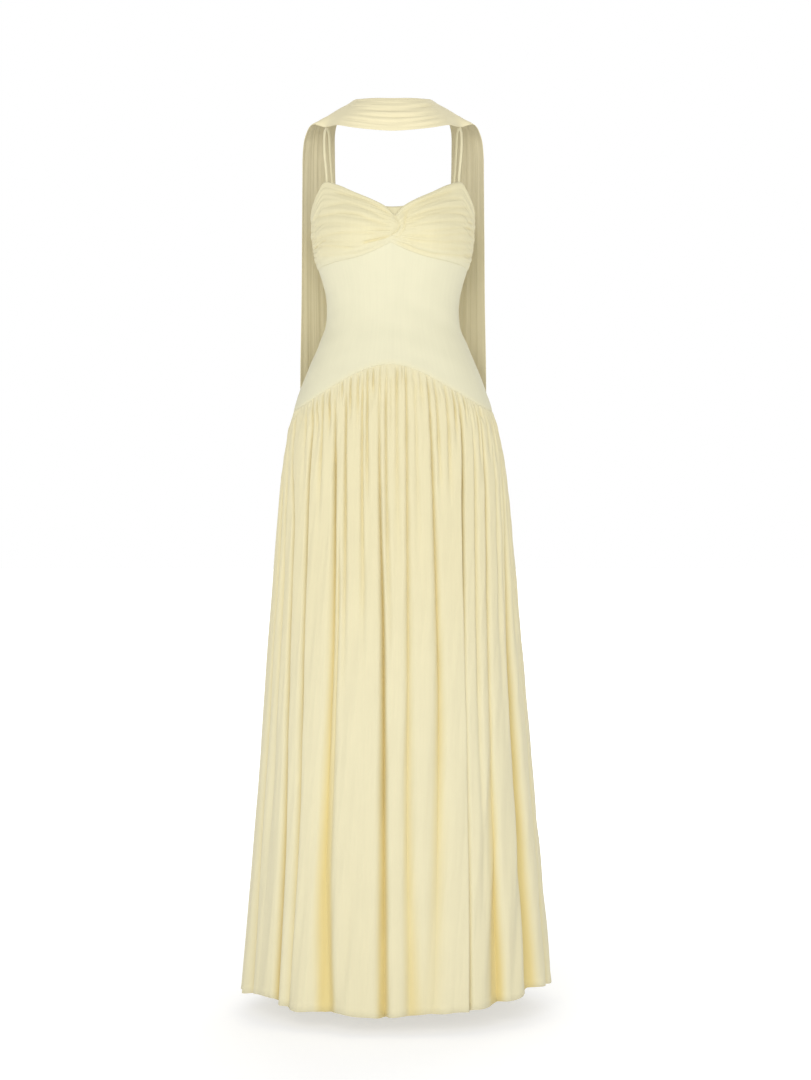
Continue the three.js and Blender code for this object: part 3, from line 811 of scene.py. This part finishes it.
class GOWN_OT_bodice(bpy.types.Operator):
    """Fit the front and back of the bodice"""

    bl_idname = "gown.bodice"
    bl_label = "Bodice"

    def execute(self, context):
        cloth = settings()
        material = jersey("bodice_jersey", cloth.bodice_colour, cloth.doubled_and_shade_colour)
        for node, front in (("bodice_front", True), ("bodice_back", False)):
            points, doubled_and_shade = bodice_form(front)
            obj = grid_object(f"{node}_cloth", points, BODICE_CUT)
            add_doubled_and_shade_mask(obj, doubled_and_shade)
            thicken(obj, cloth.thickness)
            finish(obj, material, node, "bodice", flat=BODICE_CUT, held="stretched", rests_on=[])
        return {"FINISHED"}


# ---- Bust drape ----

DRAPE_TOP = table(Edge, (
    (0, -170),
    (3, -162),
    (6.5, -152.5),
    (15, -140.5),
    (27, -126.5),
    (41, -110.5),
    (53.8, -103),
    (62, -117.5),
    (70.3, -134.5),
    (81, -152.5),
    (90, -158.5),
))
DRAPE_FOOT = table(Edge, ((0, -211), (13, -226), (27, -236), (48, -242), (77, -248), (90, -250)))

# Where the two halves of the drape meet in the twist: down its height, as a share, and to the wearer's left.
Twist = namedtuple("Twist", "share x")
TWIST_LINE = table(Twist, (
    (0, 1.5),
    (0.2, 8),
    (0.38, 12),
    (0.58, 7),
    (0.72, -1),
    (0.86, -8.5),
    (1, -7),
))
# Creases of the drape. Each is pressed in by depth and rises again over the half widths above and below it;
# its path is given as angles and heights, and it fades at both ends unless it runs off the cloth.
Crease = namedtuple("Crease", "depth above below path")
RIGHT_CREASES = table(Crease, (
    (2.5, 3.5, 5.5, ((-49, -118), (-35, -129), (-19.5, -142), (-8.5, -156), (3, -176))),
    (1.8, 4.5, 4.5, ((-58, -150), (-35.5, -146), (-24, -152), (-12, -166), (2, -184))),
    (2.2, 3.0, 6.0, ((-80, -163), (-42.5, -162), (-27, -166), (-14, -177), (4, -190))),
    (1.5, 4.0, 4.0, ((-96, -174), (-45, -179), (-27, -185), (-14, -191), (5, -193))),
    (1.9, 2.6, 4.5, ((-96, -198), (-60, -198), (-38, -195), (-21.5, -196), (-3, -202))),
    (4.2, 3.6, 1.8, ((-24, -215.5), (-17, -211.5), (-9, -207), (-3, -203), (0, -200.5))),
    (1.6, 2.2, 3.0, ((-96, -204), (-59, -204), (-41, -209), (-28, -211))),
    (2.1, 2.4, 4.0, ((-96, -212), (-53, -213), (-36, -218), (-23, -222))),
    (1.8, 4.0, 4.0, ((-70, -227), (-40.5, -230), (-26, -230), (-12.5, -222), (1, -212))),
    (1.6, 1.8, 1.8, ((-96, -184), (-72, -185), (-61.5, -186))),
    (1.4, 1.6, 1.8, ((-96, -218), (-78, -219), (-64, -221))),
    (1.4, 1.6, 1.8, ((-96, -226), (-78, -227), (-66, -229))),
    (1.2, 1.6, 1.6, ((-96, -168), (-78, -169), (-70, -169))),
    (1.3, 1.6, 1.6, ((-96, -236), (-80, -237), (-60, -239))),
    (2.3, 1.1, 1.3, ((-77, -215), (-68, -211.5), (-60, -207.5), (-51, -203))),
    (1.9, 1.1, 1.1, ((-80, -199.5), (-73, -195), (-65, -190))),
    (1.5, 1.0, 1.0, ((-79, -207), (-71, -203.5), (-63, -200))),
))
LEFT_CREASES = table(Crease, (
    (1.6, 2.2, 2.2, ((11, -156), (9, -172), (8.5, -188), (5, -200), (-3, -209))),
    (1.3, 1.5, 1.5, ((0.5, -188), (2, -192), (3, -197))),
    (2.5, 3.5, 5.5, ((51, -116), (38.5, -126), (25, -139), (14.5, -152), (7, -165), (4, -177))),
    (1.6, 4.0, 4.5, ((62, -130), (40, -136), (25, -148), (15.5, -161), (9, -171), (4, -184))),
    (2.2, 3.2, 5.5, ((72, -144), (43, -151), (27, -159), (15.5, -170), (8, -180), (3, -190))),
    (1.8, 4.0, 4.5, ((96, -157), (77.5, -161), (50, -160), (33, -164), (19, -174), (10, -184), (3, -193))),
    (1.5, 3.5, 3.5, ((96, -169), (53, -173), (34, -178), (19, -184), (10, -190), (3, -195))),
    (1.9, 2.6, 4.5, ((96, -180), (57, -182), (40, -188), (24, -194), (12, -196))),
    (1.8, 2.6, 4.0, ((96, -189), (57, -191), (40, -198), (25, -202), (14, -201), (3, -199))),
    (1.9, 3.0, 4.0, ((96, -199), (51, -206), (34, -210), (19.5, -210), (8, -205), (-1, -202))),
    (1.6, 3.0, 4.0, ((96, -209), (52, -218), (35.5, -221), (22, -219), (10, -212), (-1, -205))),
    (2.6, 2.6, 4.5, ((96, -219), (51, -229), (34, -230), (20, -226), (9, -216), (-1, -206))),
    (1.4, 1.8, 1.8, ((96, -225), (80, -226), (62, -231))),
    (2.1, 4.0, 3.5, ((42, -241), (27, -235), (15, -227), (5.5, -217), (-2, -208))),
    (1.5, 1.6, 1.8, ((96, -184), (82, -185), (66, -187))),
    (1.3, 1.6, 1.6, ((96, -204), (82, -205), (72, -207))),
    (1.3, 1.6, 1.6, ((96, -235), (82, -236), (62, -238))),
    (2.2, 1.1, 1.2, ((58, -180.5), (67, -183), (76, -186), (85, -190))),
    (1.7, 1.0, 1.0, ((61, -171), (70, -173), (80, -174.5))),
    (1.9, 1.0, 1.1, ((63, -191), (71, -193.5), (81, -198.5))),
))
ARC = 2.35  # mm of cloth to a degree round the bust
CREASE_STEP = 1.5
CREASE_FADE = (0.22, 0.16)  # shares of a crease over which it comes in and dies out
CREASE_POWER = 1.5  # below 2, the floor of a crease is sharper
DRAPE_CUT = (0.23, 0.15)  # each half's cut, in metres, and its area, as it narrows to the twist
DRAPE_AREA = 0.026
DRAPE_ROWS = 110
DRAPE_COLUMNS = 150
DRAPE_FORWARD = 0.3
DRAPE_LIFT = 1.3  # how far the drape stands off the bodice at its edges, and how much more between them
DRAPE_FULL = 3.2
FULL_INWARD = (-30, 25)  # that grows on the way in from the twist, and is this share of it at the side seam
SIDE_FULL = 0.35
SIDE_CREASE = 0.4  # share of the creases' depth at the side seam
SIDE_HEIGHT = 0.45  # share of its height there
LEAST_HEIGHT = 0.5
TOP_ROLL = 5  # how far its top edge rolls in
FOOT_SLOPE = 14  # how far above its foot it is full, and its creases are
FOOT_CREASE = 8
FOOT_BAND = (-2, 4)  # where it meets the bodice at its foot
TWIST_UNDER = 5.0  # how far the right half runs on under the left one at the twist
TWIST_PUFF = 3.4  # how far the right half puffs up beside the twist; the left one does by this share of it
LEFT_PUFF = 0.6
TWIST_REACH = 17.0
TWIST_EDGE = (1.8, 1.0)  # how high the right and left half lie where they meet
TWIST_ROLL = 10  # how far the left half's edge rolls in there, and where the right half rises beside it
RIGHT_RISE = (3, 12)
DRAPE_TINT = (0.08, 0.26)  # deeper tint at the foot and this far above it, and besides painted shade in the creases
TINT_ABOVE = 24
CREASE_SHADE = 0.2
CREASE_SHADE_DEPTH = (0.3, 4)

# Small unevenness of the drape: waves down it and across it, seed, and height.
FineWave = namedtuple("FineWave", "down across seed height")
DRAPE_WAVES = table(FineWave, ((15, 2.2, 31, 0.38), (7, 1.4, 41, 0.5)))


def crease_depth(angle, z, creases):
    """How far creases press the cloth in at points of the drape."""
    total = np.zeros(angle.shape)
    x, y = angle.ravel() * ARC, z.ravel()
    points = np.arange(len(x))
    for crease in creases:
        path = np.array(crease.path, float) * (ARC, 1)
        length = along_line(path)
        steps = np.linspace(0, length[-1], max(int(length[-1] / CREASE_STEP), 8))
        line = np.stack([curve_through(length, path[:, i])(steps) for i in (0, 1)], axis=-1)
        offset = np.stack([x[:, None] - line[:, 0], y[:, None] - line[:, 1]], axis=-1)
        square = (offset**2).sum(-1)
        nearest = square.argmin(1)
        distance = np.sqrt(square[points, nearest])
        half = np.where(offset[points, nearest, 1] > 0, crease.above, crease.below)
        share = steps[nearest] / length[-1]
        ends = smooth(share, 0, CREASE_FADE[0]) * smooth(1 - share, 0, CREASE_FADE[1])
        total += (crease.depth * ends * np.exp(-((distance / half) ** CREASE_POWER))).reshape(total.shape)
    return total


def rolled(distance, reach):
    """Rises from 0 at a rolled edge to 1 at its reach."""
    return np.sqrt(1 - (1 - np.clip(distance / reach, 0, 1)) ** 2)


def drape_form(side):
    """Points of one half of the drape, columns from left to right, and its deeper tint with painted shade in
    the creases; side is -1 or 1.
    """
    right = side < 0
    u, v = np.meshgrid(np.linspace(0, 1, DRAPE_COLUMNS + 1), np.linspace(0, 1, DRAPE_ROWS + 1))
    plain = 90 * (1 - u)
    top, foot = (column_curve(edge, "angle", "z")(plain) for edge in (DRAPE_TOP, DRAPE_FOOT))
    z = mix(top, foot, v)
    meeting = column_curve(TWIST_LINE, "share", "x")(v) + (TWIST_UNDER if right else 0)
    angle = side * plain + np.degrees(meeting / SIDE(z)) * u**5
    base = body_point(angle, z)
    base[..., 1] -= DRAPE_FORWARD
    normals = surface_normals(base) if right else surface_normals(base[:, ::-1])[:, ::-1]
    inward = (1 - u) * 90 * ARC
    from_foot = z - foot
    creases = crease_depth(angle, z, RIGHT_CREASES if right else LEFT_CREASES)
    creases *= mix(SIDE_CREASE, 1, smooth(u, 0, 0.08))
    middle = np.sin(math.pi * v) ** 0.7
    puff = TWIST_PUFF * (1 if right else LEFT_PUFF) * np.exp(-((inward / TWIST_REACH) ** 2)) * middle
    fine = sum(waves(v * w.down, u * w.across, w.seed + side) * w.height for w in DRAPE_WAVES)
    full = DRAPE_FULL * smooth(inward, *FULL_INWARD) * mix(SIDE_FULL, 1, smooth(u, 0, 0.2))
    full += puff + fine * smooth(u, 0, 0.06)
    height = DRAPE_LIFT + full * rolled(top - z, TOP_ROLL) * smooth(from_foot, 0, FOOT_SLOPE)
    height -= creases * smooth(from_foot, 0, FOOT_CREASE)
    away = smooth(inward, *RIGHT_RISE) if right else rolled(inward, TWIST_ROLL)
    height = mix(TWIST_EDGE[0 if right else 1], height, away)
    height = np.maximum(height, LEAST_HEIGHT) * mix(SIDE_HEIGHT, 1, smooth(u, 0, 0.03))
    points = base + normals * (BODICE_OUT + height * smooth(from_foot, *FOOT_BAND))[..., None]
    doubled_and_shade = mix(*DRAPE_TINT, smooth(from_foot, 0, TINT_ABOVE))
    # painted shade in the creases
    doubled_and_shade += CREASE_SHADE * smooth(creases, *CREASE_SHADE_DEPTH)
    return (points, doubled_and_shade) if right else (points[:, ::-1], doubled_and_shade[:, ::-1])


class GOWN_OT_drape(bpy.types.Operator):
    """Gather the two halves of the bust drape into the side seams and the twist"""

    bl_idname = "gown.drape"
    bl_label = "Bust drape"

    def execute(self, context):
        cloth = settings()
        material = jersey("drape_jersey", cloth.bodice_colour, cloth.doubled_and_shade_colour)
        for node, side in (("bust_drape_right", -1), ("bust_drape_left", 1)):
            points, doubled_and_shade = drape_form(side)
            obj = grid_object(f"{node}_cloth", points, DRAPE_CUT)
            add_doubled_and_shade_mask(obj, doubled_and_shade)
            thicken(obj, cloth.thickness)
            cut = {"flat": DRAPE_CUT, "area": DRAPE_AREA, "held": "gathered", "rests_on": ["bodice_front"]}
            finish(obj, material, node, "drape", **cut)
        return {"FINISHED"}


# ---- Straps and scarf ----

STRAP_WALL = 0.6
STRAP_TUCK = 7.0  # how far each end runs down inside the bodice, and how far behind its wall
STRAP_BEHIND = 0.9
STRAP_STEPS = 170
ROUTE_STEPS = 600
STRAP_SIDES = 16
STRAP_FLAT = 0.85  # its thickness to its width
STRAP_SEAM = (0.16, 0.3)  # depth of the seam along it, to its radius, and half width in radians
STRAP_UNEVEN = (0.05, 22)  # how much its width varies, and over what length
STRAP_CUT = (0.0115, 0.32)
StrapEnd = namedtuple("StrapEnd", "angle edge")
STRAP_FRONT = StrapEnd(55, -104)
STRAP_BACK = StrapEnd(128, -161.5)
# The left strap between the front's peak and the back's top edge.
STRAP_ROUTE = (
    (118, -37, -46),
    (118.2, -20, -13),
    (115.5, -2, -0.9),
    (112, 18, -9),
    (110.5, 36, -42),
    (107, 49, -100),
)

# The left half of the scarf from the centre front over the shoulder and down behind it: its inner edge, the
# upper one at the neck, its middle and its outer edge.
ScarfRow = namedtuple("ScarfRow", "inner middle outer")
SCARF = table(ScarfRow, (
    ((0, -62, 40), (0, -81, 11), (0, -92, -21)),
    ((30, -58, 41), (35, -78, 12), (38, -88, -18)),
    ((54, -40, 43), (62, -63, 16), (70, -74, -12)),
    ((68, -12, 46), (82, -37, 22), (97, -46, -3)),
    ((81, 16, 40), (101, -4, 27), (118, -2, 0.8)),
    ((94, 38, 26), (118, 24, 21), (141, 10, 8)),
    ((102, 53, 2), (129, 46, 3), (154, 31, -9)),
    ((103, 63, -34), (132, 58, -34), (159, 42, -38)),
    ((102, 69, -90), (132, 64, -90), (160, 49, -90)),
    ((98, 77, -180), (130, 71, -180), (161, 55, -180)),
    ((95, 84, -300), (129, 77, -300), (162, 60, -300)),
    ((92, 95, -400), (128, 85, -400), (164, 65, -400)),
    ((88, 120, -480), (127, 102, -480), (165, 74, -480)),
    ((84, 140, -560), (126, 120, -560), (166, 87, -560)),
    ((80, 165, -700), (125, 145, -700), (168, 110, -700)),
    ((76, 187, -860), (124, 166, -860), (170, 131, -860)),
))
SCARF_STEPS = 520
SCARF_COLUMNS = 72
SCARF_CUT = (0.16, 2.2)  # its cut, in metres, and its area, as it narrows at the neck
SCARF_AREA = 0.24
SCARF_WANDER = 0.06  # how far its folds wander, and over what they flatten to its edges, to its width
SCARF_EDGE = 0.06
BAND_END = (1.8, 3.2)  # where the band's folds end and the tails' begin, in rows of the table
TAIL_START = (4, 5.5)

# Folds of the scarf: how many across it, rows of the table that each keeps its shape for, height, seed, and
# how far they wander across it, to the band's.
ScarfFold = namedtuple("ScarfFold", "count length height seed wander")
BAND_FOLDS = table(ScarfFold, ((4.6, 5, 1.25, 72, 1), (10, 4, 0.35, 73, 1)))
TAIL_FOLDS = table(ScarfFold, ((4.2, 14, 0.6, 74, 0.6), (13, 14, 0.25, 75, 0.4)))


def spline(points, places, power):
    """Points on a curve through points, at places counted in points.

    A power of 0 gives the uniform curve, and 0.5 one that keeps clear of loops where points stand close.
    """
    points = np.array(points, float)
    p = np.concatenate([[2 * points[0] - points[1]], points, [2 * points[-1] - points[-2]]])
    i = np.clip(np.floor(places).astype(int), 0, len(points) - 2)
    t = (places - i)[:, None]
    a, b, c, d = p[i], p[i + 1], p[i + 2], p[i + 3]
    spans = ((b, a), (c, b), (d, c))
    before, here, after = (np.linalg.norm(q - r, axis=1, keepdims=True) ** power for q, r in spans)
    start = ((b - a) / before - (c - a) / (before + here) + (c - b) / here) * here
    end = ((c - b) / here - (d - b) / (here + after) + (d - c) / after) * here
    ahead = 3 * t**2 - 2 * t**3
    return b * (1 - ahead) + c * ahead + start * (t**3 - 2 * t**2 + t) + end * (t**3 - t**2)


def tucked(end, up):
    """Where the end of a strap's middle line lies behind the bodice's wall."""
    angle, z = end.angle, end.edge + up * STRAP_TUCK
    around = body_point(np.array([[angle - 2, angle + 2]] * 2), np.array([[z + 4] * 2, [z - 4] * 2]))
    inside = BODICE_OUT + STRAP_BEHIND + settings().strap_width / MM / 2
    return body_point(angle, z) - surface_normals(around)[0, 0] * inside


def strap_form(side):
    """Points of a strap: rows along it and columns round it, the last column on the first."""
    front = [tucked(STRAP_FRONT, up) for up in (-1, 1)]
    back = [tucked(STRAP_BACK, up) for up in (1, -1)]
    route = [*front, *STRAP_ROUTE, *back]
    line = spline(route, np.linspace(0, len(route) - 1, ROUTE_STEPS), 0.5)
    length = along_line(line)
    spaced = np.linspace(0, length[-1], STRAP_STEPS + 1)
    line = np.stack([np.interp(spaced, length, line[:, i]) for i in range(3)], axis=-1)
    ahead = unit(np.gradient(line, axis=0))
    outward = unit(np.cross(ahead, np.cross((1.0, 0, 0), ahead)))
    lift = np.cross(ahead, outward)
    turn = np.linspace(0, -2 * math.pi, STRAP_SIDES + 1)
    change, distance = STRAP_UNEVEN
    size = settings().strap_width / MM / 2 * (1 + change * waves(spaced / distance, 0 * spaced, 61 + side))
    seam, seam_half = STRAP_SEAM
    ring = size[:, None] * (1 - seam * np.exp(-(((turn + math.pi / 2) / seam_half) ** 2)))
    across = outward[:, None] * (np.cos(turn) * ring)[..., None]
    points = line[:, None] + across + lift[:, None] * (np.sin(turn) * ring * STRAP_FLAT)[..., None]
    points[..., 0] *= side
    return points if side > 0 else points[:, ::-1]


def scarf_form():
    """Points of the scarf, rows from one tail's end to the other's and columns across it."""
    mirrored = [ScarfRow(*((-x, y, z) for x, y, z in row)) for row in SCARF[1:]]
    rows = [*mirrored[::-1], *SCARF]
    place = np.linspace(0, len(rows) - 1, SCARF_STEPS + 1)
    inner, middle, outer = (spline(line, place, 0)[:, None] for line in zip(*rows))
    v = np.linspace(0, 1, SCARF_COLUMNS + 1)[None, :, None]
    plain = inner * ((1 - v) * (1 - 2 * v)) + middle * (4 * v * (1 - v)) + outer * (v * (2 * v - 1))
    normals = surface_normals(plain)
    v = v[..., 0] + 0 * place[:, None]
    along = (place - (len(rows) - 1) / 2)[:, None] + 0 * v
    wander = SCARF_WANDER * waves(along / 5, 0 * v, 71, 4)

    def folded(folds):
        return sum(
            waves((v + wander * fold.wander) * fold.count, along / fold.length, fold.seed) * fold.height
            for fold in folds
        )

    from_front = np.abs(along)
    height = folded(BAND_FOLDS) * (1 - smooth(from_front, *BAND_END))
    height += folded(TAIL_FOLDS) * smooth(from_front, *TAIL_START)
    height *= smooth(np.minimum(v, 1 - v), 0, SCARF_EDGE)
    return (plain + normals * height[..., None])[::-1]


class GOWN_OT_straps(bpy.types.Operator):
    """Sew the two thin straps from the front's peaks over the shoulders to the back"""

    bl_idname = "gown.straps"
    bl_label = "Straps"

    def execute(self, context):
        material = jersey("strap_jersey", settings().skirt_colour)
        for node, side in (("strap_right", -1), ("strap_left", 1)):
            obj = grid_object(f"{node}_cloth", strap_form(side), STRAP_CUT)
            weld(obj, 0.01 * MM)
            thicken(obj, STRAP_WALL * MM)
            bodice = ["bodice_front", "bodice_back"]
            finish(obj, material, node, "strap", flat=STRAP_CUT, held="stretched", rests_on=bodice)
        return {"FINISHED"}


class GOWN_OT_scarf(bpy.types.Operator):
    """Drape the scarf across the front of the neck and down behind both shoulders"""

    bl_idname = "gown.scarf"
    bl_label = "Scarf"

    def execute(self, context):
        cloth = settings()
        obj = grid_object("scarf_cloth", scarf_form(), SCARF_CUT)
        wall = thicken(obj, cloth.thickness)
        # the inner wall takes the second material, a darker copy of the scarf's colour: painted shade on the
        # tails' inner side
        wall.material_offset = 1
        straps = ["strap_right", "strap_left"]
        cut = {"flat": SCARF_CUT, "area": SCARF_AREA, "held": "draped", "rests_on": straps}
        # the scarf's colour is a lighter copy of the gown's jersey: painted light on the front-lit band
        finish(obj, jersey("scarf_jersey", cloth.scarf_lit_colour), "scarf", "scarf", **cut)
        obj.data.materials.append(jersey("scarf_inside", cloth.scarf_shade_colour, mottled=INSIDE_MOTTLE))
        return {"FINISHED"}


# ---- Stage ----

CAMERA = Vector((0.02175, -4.0, -0.717))
FRAME_HEIGHT = 1.879  # height of what the camera sees at the gown's middle
SENSOR = 36.0
FLOOR = -1.53
FLOOR_REACH = 60.0
# How strongly the floor glows near the gown and away from it, and at what distances.
FLOOR_GLOW = {"From Min": 0.5, "From Max": 2.4, "To Min": 0.2, "To Max": 0.8}
FLOOR_FINISH = {"Roughness": 0.95, "Specular IOR Level": 0.0, "Emission Strength": 1.0}
WHITE = (1, 1, 1, 1)

# Wide soft sources: azimuth to the camera's right, elevation and width in degrees, and power to the key's.
Sun = namedtuple("Sun", "name azimuth elevation spread power")
SUNS = table(Sun, (("key", -10, 24, 36, 1), ("fill", 18, 8, 50, 0.42), ("back", 170, 28, 50, 0.9)))


def floor_paint():
    """Pale paint that glows to full white away from the gown, so that no horizon shows."""
    paint = bpy.data.materials.new("floor_paint")
    paint.use_nodes = True
    tree = paint.node_tree
    surface = tree.nodes["Principled BSDF"]
    set_sockets(surface, {"Base Color": (*settings().floor_colour, 1), **FLOOR_FINISH})
    place = add_node(tree, "ShaderNodeTexCoord").outputs["Object"]
    away = add_node(tree, "ShaderNodeVectorMath", {}, {0: place}, operation="LENGTH").outputs["Value"]
    glow = add_node(tree, "ShaderNodeMapRange", FLOOR_GLOW, {"Value": away}, interpolation_type="SMOOTHSTEP")
    white = add_node(tree, "ShaderNodeCombineXYZ", {}, {axis: glow.outputs["Result"] for axis in "XYZ"})
    tree.links.new(white.outputs[0], surface.inputs["Emission Color"])
    return paint


def studio_world():
    """Even light from all round, seen as plain white."""
    world = bpy.data.worlds.new("studio")
    world.use_nodes = True
    tree = world.node_tree
    light = tree.nodes["Background"]
    set_sockets(light, {"Color": WHITE, "Strength": settings().ambient})
    seen = add_node(tree, "ShaderNodeBackground", {"Color": WHITE})
    from_camera = add_node(tree, "ShaderNodeLightPath").outputs["Is Camera Ray"]
    links = {"Fac": from_camera, 1: light.outputs[0], 2: seen.outputs[0]}
    choose = add_node(tree, "ShaderNodeMixShader", {}, links)
    tree.links.new(choose.outputs[0], tree.nodes["World Output"].inputs["Surface"])
    return world


def add_sun(sun):
    """One of the soft sources that light the gown."""
    light = bpy.data.lights.new(sun.name, "SUN")
    light.energy = settings().key_power * sun.power
    light.angle = math.radians(sun.spread)
    turned = math.radians(90 - sun.elevation), 0, math.radians(sun.azimuth)
    add_object(sun.name, light).rotation_euler = turned


def add_camera():
    """The camera, level and straight in front of the gown."""
    camera = bpy.data.cameras.new("camera")
    camera.sensor_fit = "AUTO"
    camera.sensor_width = SENSOR
    camera.lens = SENSOR * -CAMERA.y / FRAME_HEIGHT
    obj = add_object("camera", camera)
    obj.location = CAMERA
    obj.rotation_euler = (math.radians(90), 0, 0)
    return obj


def add_floor():
    """The wide pale floor under the gown."""
    bm = bmesh.new()
    bmesh.ops.create_grid(bm, x_segments=1, y_segments=1, size=FLOOR_REACH)
    bmesh.ops.translate(bm, verts=bm.verts, vec=(0, 0, FLOOR))
    mesh = bpy.data.meshes.new("floor")
    bm.to_mesh(mesh)
    bm.free()
    mesh.materials.append(floor_paint())
    add_object("floor", mesh)


class GOWN_OT_stage(bpy.types.Operator):
    """Set up the pale floor, the soft studio light and the camera"""

    bl_idname = "gown.stage"
    bl_label = "Stage"

    def execute(self, context):
        context.scene.camera = add_camera()
        add_floor()
        context.scene.world = studio_world()
        for sun in SUNS:
            add_sun(sun)
        context.scene.view_settings.view_transform = "Standard"
        return {"FINISHED"}


# ---- Settings and panel ----


class GownSettings(bpy.types.PropertyGroup):
    """Sizes, colours and light that a maker would change"""

    thickness: FloatProperty(
        name="Thickness", description="Thickness of one layer of jersey", default=0.8 * MM, unit="LENGTH"
    )
    strap_width: FloatProperty(
        name="Strap width", description="Width of each shoulder strap", default=4 * MM, unit="LENGTH"
    )
    fold_depth: FloatProperty(
        name="Folds", description="Depth of the long folds, to the usual", default=1.0, subtype="FACTOR"
    )
    gather_depth: FloatProperty(
        name="Gathers", description="Depth of the gathers, to the usual", default=1.0, subtype="FACTOR"
    )
    bodice_colour: FloatVectorProperty(
        name="Bodice", description="Colour of the bodice", default=(0.69, 0.66, 0.472), subtype="COLOR"
    )
    skirt_colour: FloatVectorProperty(
        name="Skirt", description="Colour of the skirt", default=(0.71, 0.654, 0.434), subtype="COLOR"
    )
    # a lighter copy of the gown's jersey: painted light on the front-lit band
    scarf_lit_colour: FloatVectorProperty(
        name="Scarf", description="Colour of the scarf", default=(0.76, 0.69, 0.455), subtype="COLOR"
    )
    # deeper colour where the cloth lies doubled, and painted shade in folds, creases and at the seam
    doubled_and_shade_colour: FloatVectorProperty(
        name="Doubled cloth and painted shade",
        description="Deeper colour where the cloth lies doubled, and painted shade in folds and creases",
        default=(0.70, 0.575, 0.245),
        subtype="COLOR",
    )
    # a darker copy of the scarf's colour for its inner face: painted shade on the tails
    scarf_shade_colour: FloatVectorProperty(
        name="Inside", description="Painted shade on the inside of the scarf", default=(0.59, 0.53, 0.35), subtype="COLOR"
    )
    floor_colour: FloatVectorProperty(
        name="Floor", description="Colour of the floor", default=(0.6, 0.6, 0.6), subtype="COLOR"
    )
    ambient: FloatProperty(name="Ambient", description="Strength of the light from all round", default=0.45)
    key_power: FloatProperty(name="Key light", description="Strength of the main light", default=1.2)


class GOWN_PT_panel(bpy.types.Panel):
    """Sizes and colours of the gown, and a button for each piece"""

    bl_idname = "GOWN_PT_panel"
    bl_label = "Gown"
    bl_space_type = "VIEW_3D"
    bl_region_type = "UI"
    bl_category = "Gown"

    def draw(self, context):
        for name in GownSettings.__annotations__:
            self.layout.prop(context.scene.gown, name)
        for operator in OPERATORS:
            self.layout.operator(operator.bl_idname)


OPERATORS = (GOWN_OT_stage, GOWN_OT_bodice, GOWN_OT_skirt, GOWN_OT_drape, GOWN_OT_straps, GOWN_OT_scarf)
CLASSES = (GownSettings, *OPERATORS, GOWN_PT_panel)


def register():
    for cls in CLASSES:
        bpy.utils.register_class(cls)
    bpy.types.Scene.gown = PointerProperty(type=GownSettings)


def unregister():
    del bpy.types.Scene.gown
    for cls in reversed(CLASSES):
        bpy.utils.unregister_class(cls)


def main():
    register()
    bpy.ops.gown.stage()
    bpy.ops.gown.bodice()
    bpy.ops.gown.skirt()
    bpy.ops.gown.drape()
    bpy.ops.gown.straps()
    bpy.ops.gown.scarf()


if __name__ == "__main__":
    main()
